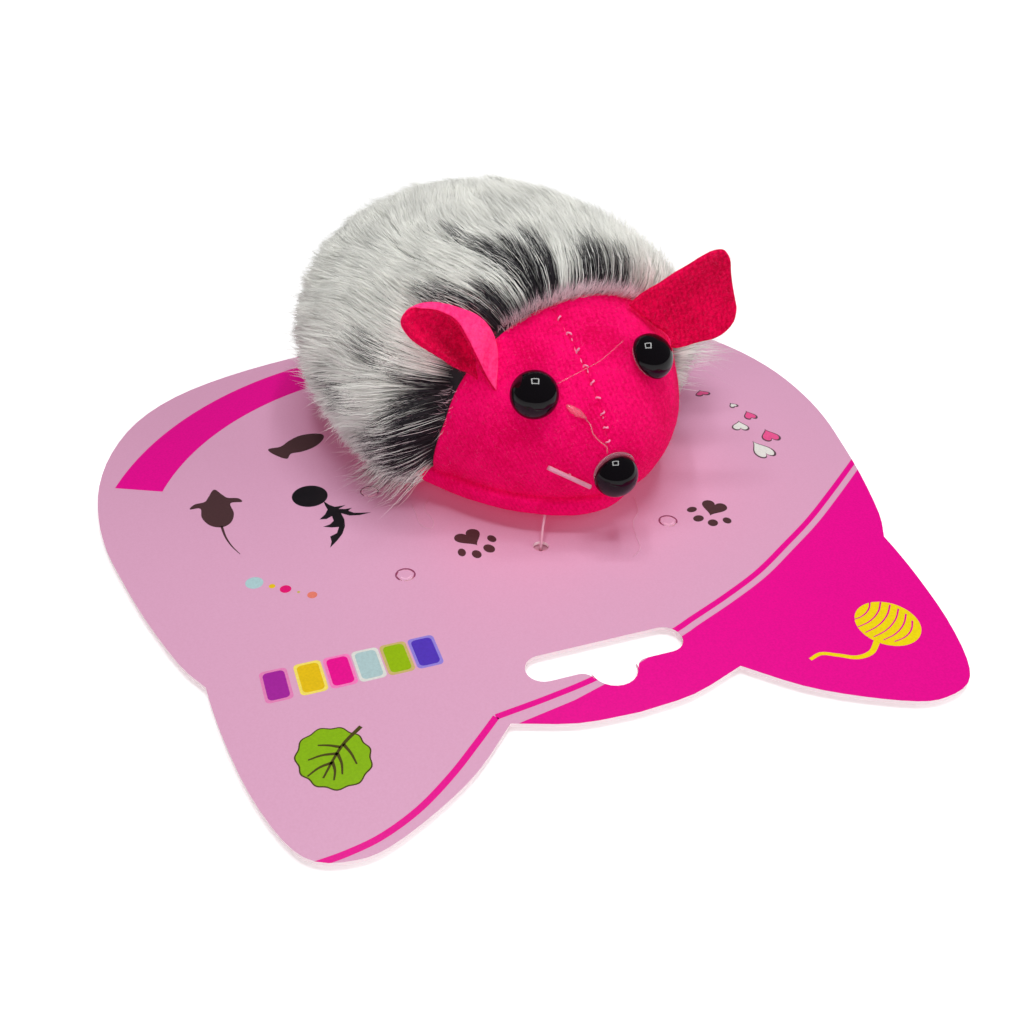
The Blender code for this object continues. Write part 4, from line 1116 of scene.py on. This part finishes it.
# %% Backing
# The backing's dark colour is partly its own and partly painted shade deep in the pile.
backing, _ = new_finish("dark_knitted_backing", "#2c292d", 0.95)
skin_rows, skin_columns, rump_hole = 60, 160, 0.02
collar_slant = acos(-collar_y / egg_front[1])
skin_slants = np.linspace(collar_slant, pi - rump_hole, skin_rows)[:, None]
skin_turns = tau * np.arange(skin_columns) / skin_columns
skin_points = egg_points(skin_slants, skin_turns)[0]
behind = skin_points[:, 1] > 0
skin_points[behind, 1] *= egg_rear[1] / egg_front[1]
skin_points[:, 2] = np.maximum(skin_points[:, 2], hem_height)
skin_grid = grid_faces(skin_rows, skin_columns, closed=True)
skin_grid.append(tuple(range((skin_rows - 1) * skin_columns, skin_rows * skin_columns)))
hide = outward(make_piece("fur_backing", placed(skin_points), skin_grid, backing,
                          replaced=("fur_cover",)))
modify(hide, "SOLIDIFY", thickness=felt * 0.7, offset=-1)
apply_modifiers(hide)
print("backing:", len(hide.data.vertices), "points")

# %% [markdown]
# The pile is acrylic fibre, pale with dyed dark roots, and has a dull silky shine. Each strand's map
# holds the share of its length that is dark and how far along it a point lies. Felt hairs and the
# pinker hairs at the seam are the same finish in other colours.

# %% Strand finish
cloud_size = 6 * mm
dark_fade = (-0.10, 0.14)


def new_strand_finish(name, root_colour, tip_colour):
    """Fibre that is dark up to a share of its length that each strand's map gives."""
    fibre, shader = new_finish(name, tip_colour, 0.55, {"Specular IOR Level": 0.3})
    strand_map = add_node(fibre, "UVMap", uv_map="Strand")
    parts = add_node(fibre, "SeparateXYZ", {0: strand_map}).outputs
    from_dark = add_node(fibre, "Math", {0: parts["Y"], 1: parts["X"]}, operation="SUBTRACT")
    share = add_node(fibre, "MapRange", {
        "Value": from_dark, "From Min": dark_fade[0], "From Max": dark_fade[1]})
    ramp = add_node(fibre, "ValToRGB", {"Fac": share})
    for element, colour in zip(ramp.color_ramp.elements, (root_colour, tip_colour)):
        element.color = to_linear(colour)
    clouded = mottled(fibre, ramp.outputs["Color"], cloud_size, 3.0, (0.35, 0.65), (0.80, 1.04))
    set_sockets(fibre, shader, {"Base Color": clouded})
    return fibre


plush_pile = new_strand_finish("silver_plush_pile", "#2b282d", "#f3f3ed")
seam_hair = new_strand_finish("pile_hairs_over_the_seam", "#d98aa4", "#ecd3da")
felt_hair = new_strand_finish("hairs_of_pink_felt", "#f5146e", "#ff4f93")
ear_hair = new_strand_finish("hairs_of_ear_felt", "#e60a4c", "#f8447c")
print("clouds in the pile:", cloud_size / mm, "mm")

# %% Strand roots
fur_random = np.random.default_rng(41)
strand_count = 84000
notch_half_width, notch_height, notch_y = 5.2 * mm, 9.5 * mm, 20 * mm
edge_margin = 0.2 * mm


def stray(count):
    """Random directions."""
    return unit(fur_random.normal(size=(count, 3)))


def egg_sizes(y):
    """The egg's half sizes in front of or behind its middle, for each y."""
    sizes = np.tile(egg_front, (len(y), 1))
    sizes[y > 0, 1] = egg_rear[1]
    return sizes


def random_roots(count):
    """Points spread evenly over the fur's skin, clear of the tail, and the skin's facing there."""
    found = np.zeros((0, 3))
    while len(found) < count:
        spots = stray(count * 3)
        sizes = egg_sizes(spots[:, 1])
        weight = np.linalg.norm(spots / sizes, axis=1) * egg_front.min()
        points = spots * sizes + egg_middle
        kept = weight > fur_random.random(len(weight))
        kept &= points[:, 1] > collar_at(points[:, 0], points[:, 2]) + edge_margin
        kept &= points[:, 2] > hem_height + edge_margin
        at_tail = (np.abs(points[:, 0]) < notch_half_width) & (points[:, 2] < notch_height)
        found = np.vstack([found, points[kept & ~(at_tail & (points[:, 1] > notch_y))]])
    found = found[:count]
    return found, unit((found - egg_middle) / egg_sizes(found[:, 1]) ** 2)


def turns_of(points):
    """The turn of points about the body's axis, in degrees: 0 on the mouse's left, 90 on top."""
    return np.degrees(np.arctan2((points[:, 2] - egg_middle[2]) / egg_front[2],
                                 (points[:, 0] - egg_middle[0]) / egg_front[0]))


def wander(points, size, seed):
    """Slow noise from -1 to 1 over points, faster to work out than one call for each point."""
    x, y, z = (points / size + seed).T
    return (np.sin(x * 1.7 + 1.3 * np.sin(y * 1.1 + seed)) * np.cos(y * 1.3 - z * 0.9)
            + np.sin(z * 1.9 + x * 0.7) * np.cos(x * 0.8 + y * 1.6 + seed)) / 1.6


roots, facings = random_roots(strand_count)
print("roots:", len(roots))

# %% [markdown]
# Each strand grows out to the pile's outer form and is brushed back along it. It bends down where
# the sides are steep, and its tip is drawn some way to that of the nearest of a few hundred large
# and a few thousand small locks.

# %% Strand tips
fur_middle = np.array((0, -11.4, 23.0)) * mm
fur_half = np.array((46.6, 56.8, 33.5)) * mm
longest_pile, deepest_pile = 21 * mm, 11 * mm
lay_length, full_lay_depth = 14 * mm, 6 * mm
lean_back, fall = np.array((0, 1.0, -0.25)), 0.9
wander_turn, wander_size = radians(40), 13 * mm
tip_scatter, least_length_share, length_gain_share = 1.2 * mm, 0.74, 0.28


def scaled(vectors, amounts):
    """Vectors times an amount for each."""
    return vectors * np.asarray(amounts)[:, None]


def along_skin(ways, facings):
    """Ways turned to lie in the skin."""
    return unit(ways - scaled(facings, (ways * facings).sum(1)))


def pile_reach(spots, ways):
    """How far each strand can go along its way until the pile's outer form."""
    a, b = (spots - fur_middle) / fur_half, ways / fur_half
    aa, ab, bb = (a * a).sum(1) - 1, (a * b).sum(1), (b * b).sum(1)
    return (-ab + np.sqrt(np.maximum(ab * ab - aa * bb, 0))) / bb


def make_tips(roots, facings):
    """Where the strands end, with the way they lie and their depth."""
    depth = pile_reach(roots, facings)
    flow = np.tile(lean_back, (len(roots), 1))
    flow[:, 2] -= fall * (1 - facings[:, 2]) / 2
    flow = along_skin(flow, facings)
    turn = wander_turn * (wander(roots, wander_size, 2.0) + wander(roots, wander_size / 3, 5.0) / 3)
    flow = scaled(flow, np.cos(turn)) + scaled(np.cross(facings, flow), np.sin(turn))
    lay = lay_length * np.clip(depth / full_lay_depth, 0.5, 1.1)
    ways = unit(scaled(facings, depth) + scaled(flow, lay))
    reach = np.minimum(pile_reach(roots, ways), longest_pile)
    return roots + scaled(ways, reach), flow, np.minimum(depth, deepest_pile)


def drawn_to_locks(roots, tips, lock_count, least, spread):
    """Tips drawn by a share of the way towards that of the nearest of some evenly strewn leaders."""
    leaders, leader_facings = random_roots(lock_count)
    leader_tips = make_tips(leaders, leader_facings)[0]
    leader_tips = leaders + (leader_tips - leaders) * fur_random.uniform(0.86, 1.0, (lock_count, 1))
    leader_tips = leader_tips + stray(lock_count) * spread
    tree = KDTree(lock_count)
    for i, spot in enumerate(leaders):
        tree.insert(spot, i)
    tree.balance()
    nearest = np.array([tree.find(spot)[1] for spot in roots])
    pull = least * (1 + fur_random.random((len(roots), 1)))
    return tips + (leader_tips[nearest] - tips) * pull


tips, flow, depth = make_tips(roots, facings)
for lock_count, least, spread in ((420, 0.20, 3.2 * mm), (2600, 0.17, 1.4 * mm)):
    tips = drawn_to_locks(roots, tips, lock_count, least, spread)
tips = tips + stray(strand_count) * tip_scatter
length_shares = least_length_share + length_gain_share * fur_random.random((strand_count, 1))
tips = roots + (tips - roots) * length_shares
print("mean strand:", round(float(np.linalg.norm(tips - roots, axis=1).mean()) / mm, 1), "mm")

# %% [markdown]
# A strand's tone is the share of its length that is dark. Near the collar, where nothing covers the
# roots, it is small but for some patches, given by the turn round the body's axis in degrees and by
# y of what shows of a strand, with their half sizes and how dark they are.

# %% Dark roots
collar_tone, tone_gain, tone_distance = 0.04, 0.22, 16 * mm
dark_patches = (
    (104, -28, 6, 7.5, 0.95), (95, -29, 2.8, 9, 0.95), (77, -31, 5, 4.5, 0.9), (86, -35, 6, 3.5, 0.9),
    (116, -34, 9, 3, 0.9), (129, -26, 6, 3.5, 0.85), (123, -32, 6, 3, 0.85), (68, -34, 6, 3.5, 0.85),
    (111, -14, 2.2, 4.5, 0.8), (109, -22, 2.2, 4, 0.8), (143, -36, 9, 3.5, 0.8), (157, -35, 12, 5, 0.85),
    (172, -34, 12, 6, 0.85), (188, -28, 10, 7, 0.8), (154, -18, 4, 5, 0.7), (176, -12, 4, 7, 0.7))
shown = roots * 0.45 + tips * 0.55
shown_turns = turns_of(shown)
from_collar = roots[:, 1] - collar_at(roots[:, 0], roots[:, 2])
tones = collar_tone + tone_gain * eased(from_collar / tone_distance)
tones = tones * fur_random.uniform(0.5, 1.5, strand_count)
for turn, y, half_turn, half_y, dark in dark_patches:
    off = np.abs((shown_turns - turn + 180) % 360 - 180) / half_turn
    away = np.hypot(off, (shown[:, 1] - y * mm) / (half_y * mm)) + 0.3 * wander(shown, 3 * mm, turn)
    in_patch = (1 - eased((away - 0.7) / 0.6)) > fur_random.random(strand_count) * 1.15
    tones = np.where(in_patch, dark * fur_random.uniform(0.75, 1.3, strand_count), tones)
tones = np.clip(tones, 0, 0.98)
print("dark strands:", int((tones > 0.5).sum()))

# %% Strands
strand_steps = 4
strand_width = 0.14 * mm
lowest_tip = 0.9 * mm
fold_hollow, fold_hollow_half = np.array((-9.6, -4.0, 1.5)) * mm, np.array((12.5, 8.5, 10.0)) * mm


def strand_rows(roots, tips, facings, flow, depth):
    """Points along each strand: it leaves the skin steeply and bends over to its tip."""
    bend = roots + scaled(facings * 0.95 + flow * 0.35, depth)
    rows = []
    for k in range(strand_steps + 1):
        s = k / strand_steps
        spots = roots * (1 - s) ** 2 + bend * 2 * s * (1 - s) + tips * s * s
        spots[:, 2] = np.maximum(spots[:, 2], lowest_tip)
        rows.append(spots)
    return np.stack(rows, axis=1)


def clear_of_fold(rows):
    """Which strands keep out of the fold of the right ear."""
    middle = skin_point(*ear_fold_root)[0] + fold_hollow
    return np.linalg.norm((rows[:, 1:] - middle) / fold_hollow_half, axis=2).min(axis=1) > 1


def make_strands(name, rows, facings, tones, width, finish, slot="silver_fur", body="toy_on_card",
                 chosen=slice(None)):
    """Ribbons along the chosen rows of points as one piece, with tone and length as their map."""
    rows, facings, tones = rows[chosen], facings[chosen], tones[chosen]
    count = len(rows)
    along = unit(np.diff(rows, axis=1))
    along = np.concatenate([along, along[:, -1:]], axis=1)
    side = unit(np.cross(along, facings[:, None, :]))
    lift = np.cross(side, along)
    roll = fur_random.uniform(-0.7, 0.7, (count, 1, 1))
    side = side * np.cos(roll) + lift * np.sin(roll)
    shares = np.linspace(0, 1, strand_steps + 1)
    half = (width * (1 - 0.75 * shares ** 1.5) / 2)[None, :, None]
    half = half * fur_random.uniform(0.7, 1.25, (count, 1, 1))
    edges = np.stack([rows + side * half, rows - side * half], axis=2)
    points = np.concatenate([edges[:, :-1].reshape(count, -1, 3), rows[:, -1:]], axis=1)
    per = points.shape[1]

    corners = []
    for k in range(0, 2 * (strand_steps - 1), 2):
        corners += [k, k + 1, k + 3, k + 2]
    corners = np.array([*corners, per - 3, per - 2, per - 1])
    loops = (corners[None, :] + (np.arange(count) * per)[:, None]).ravel()
    totals = np.tile([4] * (strand_steps - 1) + [3], count)
    mesh = bpy.data.meshes.new(name)
    mesh.vertices.add(count * per)
    mesh.vertices.foreach_set("co", placed(points.reshape(-1, 3)).ravel())
    mesh.loops.add(len(loops))
    mesh.loops.foreach_set("vertex_index", loops)
    mesh.polygons.add(len(totals))
    mesh.polygons.foreach_set("loop_start", np.concatenate([[0], np.cumsum(totals)[:-1]]))
    mesh.polygons.foreach_set("loop_total", totals)
    mesh.update(calc_edges=True)
    vertex_shares = np.append(np.repeat(shares[:-1], 2), 1.0)
    coordinates = np.stack([np.repeat(tones[:, None], len(corners), axis=1),
                            np.repeat(vertex_shares[corners][None, :], count, axis=0)], axis=2)
    for layer in ("OFBake", "Strand"):
        mesh.uv_layers.new(name=layer).data.foreach_set("uv", coordinates.ravel())
    return add_piece(name, mesh, finish, body)


rows = strand_rows(roots, tips, facings, flow, depth)
clear = clear_of_fold(rows)
sector = np.digitize((turns_of(roots) + 90) % 360, (135, 170, 195, 230))
for k, part in enumerate(("left_side", "left_crown", "crown", "right_crown", "right_side")):
    make_strands("fur_" + part, rows, facings, tones, strand_width, plush_pile, chosen=clear & (sector == k))
print("fur:", strand_count, "strands")

# %% [markdown]
# At the collar the pile's first hairs were caught in the seam. They lie forward over the felt's edge
# and turn up.

# %% Fringe
fringe_count = 2200
fringe_length = 2.6 * mm
fringe_turns = np.radians(92 + 30 * fur_random.normal(size=fringe_count))
fringe_slants = collar_slant + fur_random.uniform(-0.01, 0.03, fringe_count)
fringe_roots, fringe_facings = egg_points(fringe_slants, fringe_turns)
ahead = along_skin(np.tile((0.0, -1.0, 0.0), (fringe_count, 1)), fringe_facings)
sideways = scaled(np.cross(fringe_facings, ahead), 0.9 * wander(fringe_roots, 5 * mm, 3.0))
fringe_depth = fringe_length * fur_random.uniform(0.5, 1.3, fringe_count)
forward = fringe_depth * fur_random.uniform(-0.6, 1.4, fringe_count)
fringe_tips = fringe_roots + scaled(fringe_facings, fringe_depth * 1.5)
fringe_tips = fringe_tips + scaled(ahead * 0.4 + sideways, forward) + stray(fringe_count) * 0.9 * mm
fringe_rows = strand_rows(fringe_roots, fringe_tips, fringe_facings * 0.5, ahead * 1.4, fringe_depth)
fringe_tones = fur_random.uniform(-0.1, 0.5, fringe_count)
make_strands("fur_fringe", fringe_rows, fringe_facings, fringe_tones, 0.11 * mm, seam_hair,
             chosen=clear_of_fold(fringe_rows))
print("fringe:", fringe_count, "strands")

# %% [markdown]
# At the lower right side a few long wisps reach down to the card. The tuft that stands out on the
# mouse's left, behind its ear, has locks of its own.

# %% Wisps and tuft
wisp_locks, tuft_locks, lock_hairs = 26, 64, 14
lock_count = wisp_locks + tuft_locks
wisp_count = lock_count * lock_hairs
in_tuft = np.arange(lock_count) >= wisp_locks
wisp_way, tuft_way = unit(np.array(((-0.62, 0.18, -0.72), (0.97, 0.0, -0.14))))
way_scatter, root_scatter, hair_scatter, wisp_depth = 0.22, 0.03, 0.07, 4 * mm
tuft_turns = fur_random.uniform(-16, 16, lock_count)
lock_turns = np.radians(np.where(in_tuft, tuft_turns, fur_random.uniform(188, 204, lock_count)))
lock_slants = collar_slant + fur_random.uniform(0.12, 0.34, lock_count) + np.where(in_tuft, 0.05, 0)
lock_ways = np.where(in_tuft[:, None], tuft_way, wisp_way)
lock_ways = unit(lock_ways + way_scatter * fur_random.normal(size=(lock_count, 3)))
lock_lengths = fur_random.uniform(11, 19, lock_count) * np.where(in_tuft, 1.35, 1.0) * mm
which = np.repeat(np.arange(lock_count), lock_hairs)
wisp_turns = lock_turns[which] + root_scatter * fur_random.normal(size=wisp_count)
wisp_slants = lock_slants[which] + root_scatter * fur_random.normal(size=wisp_count)
wisp_roots, wisp_facings = egg_points(wisp_slants, wisp_turns)
wisp_lengths = lock_lengths[which] * fur_random.uniform(0.7, 1.1, wisp_count)
wisp_flow = unit(lock_ways[which] + hair_scatter * fur_random.normal(size=(wisp_count, 3)))
wisp_tips = wisp_roots + scaled(wisp_flow, wisp_lengths)
wisp_rows = strand_rows(wisp_roots, wisp_tips, wisp_facings, wisp_flow, np.full(wisp_count, wisp_depth))
wisp_tones = np.where(in_tuft[which], 0.1, fur_random.choice([0.1, 0.45, 0.8], wisp_count))
make_strands("fur_wisps", wisp_rows, wisp_facings, wisp_tones, 0.13 * mm, plush_pile)
print("wisps:", wisp_count, "strands")

# %% [markdown]
# Single hairs stand a little off the pile everywhere and soften its outline.

# %% Flyaways
flyaway_count = 2600
fly_roots, fly_facings = random_roots(flyaway_count)
fly_tips, fly_flow, fly_depth = make_tips(fly_roots, fly_facings)
fly_tips = fly_tips + fly_facings * fur_random.uniform(0.2, 2.6, (flyaway_count, 1)) * mm
fly_tips = fly_tips + stray(flyaway_count) * 2.4 * mm
fly_rows = strand_rows(fly_roots, fly_tips, fly_facings, fly_flow, fly_depth)
fly_tones = fur_random.uniform(0.0, 0.4, flyaway_count)
make_strands("fur_flyaways", fly_rows, fly_facings, fly_tones, 0.09 * mm, plush_pile,
             chosen=clear_of_fold(fly_rows))
print("flyaways:", flyaway_count, "strands")

# %% [markdown]
# Felt is never smooth in a close view: single fibres stand off it and catch the light at its edges.
# Short thin hairs are strewn over the felt pieces, with more on larger faces.

# %% Felt fuzz
fuzz_length, fuzz_width, fuzz_scatter = 0.75 * mm, 0.032 * mm, 0.35 * mm


def fuzz_on(name, felt_piece, count, finish, slot, body="toy_on_card"):
    """Single hairs that stand off a felt piece."""
    count = count
    faces = felt_piece.data.polygons
    areas, centres, normals = np.empty(len(faces)), np.empty(len(faces) * 3), np.empty(len(faces) * 3)
    for kind, values in (("area", areas), ("center", centres), ("normal", normals)):
        faces.foreach_get(kind, values)
    chosen = fur_random.choice(len(faces), count, p=areas / areas.sum())
    spots = (centres.reshape(-1, 3)[chosen] - toy_place) @ to_card
    out = normals.reshape(-1, 3)[chosen] @ to_card
    loose = stray(count)
    spots = spots + np.cross(out, loose) * fur_random.uniform(0, 1, (count, 1)) * fuzz_scatter
    lengths = fuzz_length * fur_random.uniform(0.4, 1.5, (count, 1))
    ends = spots + unit(out * 0.45 + loose) * lengths
    fuzz_rows = strand_rows(spots, ends, out, loose, lengths[:, 0] * 0.5)
    make_strands(name, fuzz_rows, out, fur_random.uniform(-0.1, 0.6, count), fuzz_width, finish, slot, body)


fuzz_on("fuzz_face_left", face_left, 5200, felt_hair, "pink_felt")
fuzz_on("fuzz_face_right", face_right, 5200, felt_hair, "pink_felt")
fuzz_on("fuzz_sole", sole, 5200, felt_hair, "pink_felt")
fuzz_on("fuzz_ear_left", ear_left, 3000, ear_hair, "red_felt", "left_ear_flap")
fuzz_on("fuzz_ear_right", ear_right, 2600, ear_hair, "red_felt", "right_ear_flap")
fuzz_on("fuzz_tail", tail, 2200, ear_hair, "red_felt", "tail_strip")
print("fuzz:", fuzz_length / mm, "mm long")

# %% [markdown]
# Sewing thread shows only where a stitch crosses the seam: it comes up on one side, crosses, dives
# and runs on under the cloth. Thread and fill are spun polyester, which is soft and takes no shine.
# The tag pins are moulded nylon, milky and a little see-through. Loose fibres are painted pink for the
# light they catch from the card.

# %% Thread and nylon
pale_thread, _ = new_finish("pale_polyester_thread", "#ef8fb8", 0.7)
pink_thread, _ = new_finish("pink_polyester_thread", "#e8186f", 0.7)
nylon, _ = new_finish("milky_nylon_pin", "#f3b3cb", 0.34, {"Transmission Weight": 0.35, "IOR": 1.5})
fill, _ = new_finish("white_fibre_fill", "#e9e9e4", 0.95)
# The loose fibre's pink is painted light bounced from the card.
loose_fibre, _ = new_finish("loose_pale_fibre", "#eec3d6", 0.6)
start_side = (0.3, 0.5, 0.81)


def make_tube(name, path, widths, finish, replaced=(), sides=8):
    """A round strand along points of the mouse's frame, of one width or a width for each point."""
    path = np.asarray(path, float)
    widths = np.broadcast_to(widths, len(path))
    ways = ways_along(path)
    side = unit(np.cross(ways[0], start_side))
    points = []
    for spot, along, width in zip(path, ways, widths):
        side = unit(side - along * np.dot(side, along))
        across = np.cross(along, side)
        points += [spot + (side * cos(tau * k / sides) + across * sin(tau * k / sides)) * width / 2
                   for k in range(sides)]
    grid = grid_faces(len(path), sides, closed=True, capped=True)
    return outward(make_piece(name, placed(points), grid, finish, replaced=replaced))


print("thread:", thread_width / mm, "mm wide")

# %% Seam threads
stitch_count, stitch_half = 9, 0.36 * mm
stitch_high, stitch_low = radians(50), radians(6)
stitch_lean = 0.12 * mm
stitch_form = ((-1.25, -0.7), (-0.9, 0.05), (0.0, 0.28), (0.9, 0.05), (1.25, -0.7))
stitch_path = []
for k in range(stitch_count):
    slope = stitch_high + (stitch_low - stitch_high) * (k + 0.3) / stitch_count
    height = egg_middle[2] + egg_front[2] * sin(slope)
    lean = stitch_lean * (-1) ** k
    stitch_path += [skin_point(seam_x + across * stitch_half, height + lean * across, lift * mm)[0]
                    for across, lift in stitch_form]
make_tube("face_seam_stitches", line_through(stitch_path, 5), thread_width * 0.8, pale_thread,
          ("face_seam_thread",))

collar_stitches = 26
stitch_reach, stitch_dive = 0.8 * mm, 0.9 * mm
collar_share = sqrt(1 - (collar_y / egg_front[1]) ** 2)
collar_low = asin((crease_height - egg_middle[2]) / (egg_front[2] * collar_share))
collar_path = []
for k in range(collar_stitches * 2 + 1):
    turn = collar_low + (pi - 2 * collar_low) * k / (collar_stitches * 2)
    y = collar_y if k % 2 else collar_y - stitch_reach
    share = sqrt(1 - (y / egg_front[1]) ** 2)
    lift = -stitch_dive if k % 2 else 0.0
    collar_path.append((egg_middle[0] + (egg_front[0] * share + lift) * cos(turn), y,
                        egg_middle[2] + (egg_front[2] * share + lift) * sin(turn)))
make_tube("collar_seam_stitches", line_through(collar_path, 4), thread_width * 0.7, pink_thread,
          ("collar_seam_thread",))
for node in ("front_tag_pin", "rear_tag_pin_left", "rear_tag_pin_right"):
    repaint(node, nylon)
print("stitches:", stitch_count + collar_stitches)

# %% [markdown]
# Hot glue leaves threads when the gun is pulled away: a blob beside the right eye with a strand down
# to the nose, and a hair-thin one between the eyes. A few hairs of the pile lie loose on the card.

# %% Glue strands and stray fibres
blob_widths = (0.5, 0.8, 1.1, 1.3, 1.5, 1.6, 1.5, 1.7, 1.8, 1.6, 1.4, 1.2, 1.0, 0.8, 0.6, 0.4)
glue_strands = (
    ("glue_blob", 0.35, 5, blob_widths, ((-9.3, 30.2), (-8.4, 29.4), (-7.3, 28.6), (-6.4, 27.9))),
    ("glue_run", 0.25, 6, 0.28, ((-6.6, 28.0), (-5.9, 26.6), (-5.7, 25.0), (-4.6, 23.4), (-3.4, 22.2),
                                 (-3.2, 20.8))),
    ("glue_hair", 0.9, 6, 0.12, ((-9.6, 33.4), (-5.0, 34.9), (0.0, 36.0), (4.0, 36.9), (7.5, 37.4))))
for name, lift, per_span, widths, places in glue_strands:
    on_skin = [skin_point(x * mm, height * mm, lift * mm)[0] for x, height in places]
    make_tube(name, line_through(on_skin, per_span), np.array(widths) * mm, clear_glue)

hair_width, hair_height = 0.1 * mm, 0.12
loose_hairs = (
    ("loose_hair_side", ((-29.1, -30.6), (-32.2, -33.6), (-32.5, -38.5), (-34.2, -40.8), (-35.6, -38.6),
                         (-34.6, -34.4), (-34.0, -31.4))),
    ("loose_hair_front", ((10.9, -53.0), (8.7, -57.5), (5.2, -60.5), (3.0, -64.5), (1.1, -68.6),
                          (-1.7, -70.1))))
for name, places in loose_hairs:
    lying = line_through([np.array((x, y, hair_height)) * mm for x, y in places], 6)
    make_tube(name, lying, hair_width, loose_fibre, sides=6)
print("glue strands and loose hairs:", len(glue_strands) + len(loose_hairs))

# %% [markdown]
# The fill is loose fibre pressed into two wads, which nobody sees. Each is its solid, remeshed and
# roughened by the size of its fibres' tufts.

# %% Fill
tuft_size, wad_grain = 4 * mm, 1.4 * mm
for name in ("head_stuffing", "body_stuffing"):
    solid = frame["nodes"][name]
    points = [solid.matrix_world @ v.co for v in solid.data.vertices]
    wad = make_piece(name + "_wad", points, [p.vertices for p in solid.data.polygons], fill,
                     replaced=(name,))
    modify(wad, "REMESH", mode="VOXEL", voxel_size=wad_grain)
    apply_modifiers(wad)
    for vertex in wad.data.vertices:
        vertex.co -= vertex.normal * (0.5 + 0.5 * noise.noise(vertex.co / tuft_size)) * mm
    wad.data.materials.clear()
    wad.data.materials.append(fill)
    print(name + ":", len(wad.data.vertices), "points")
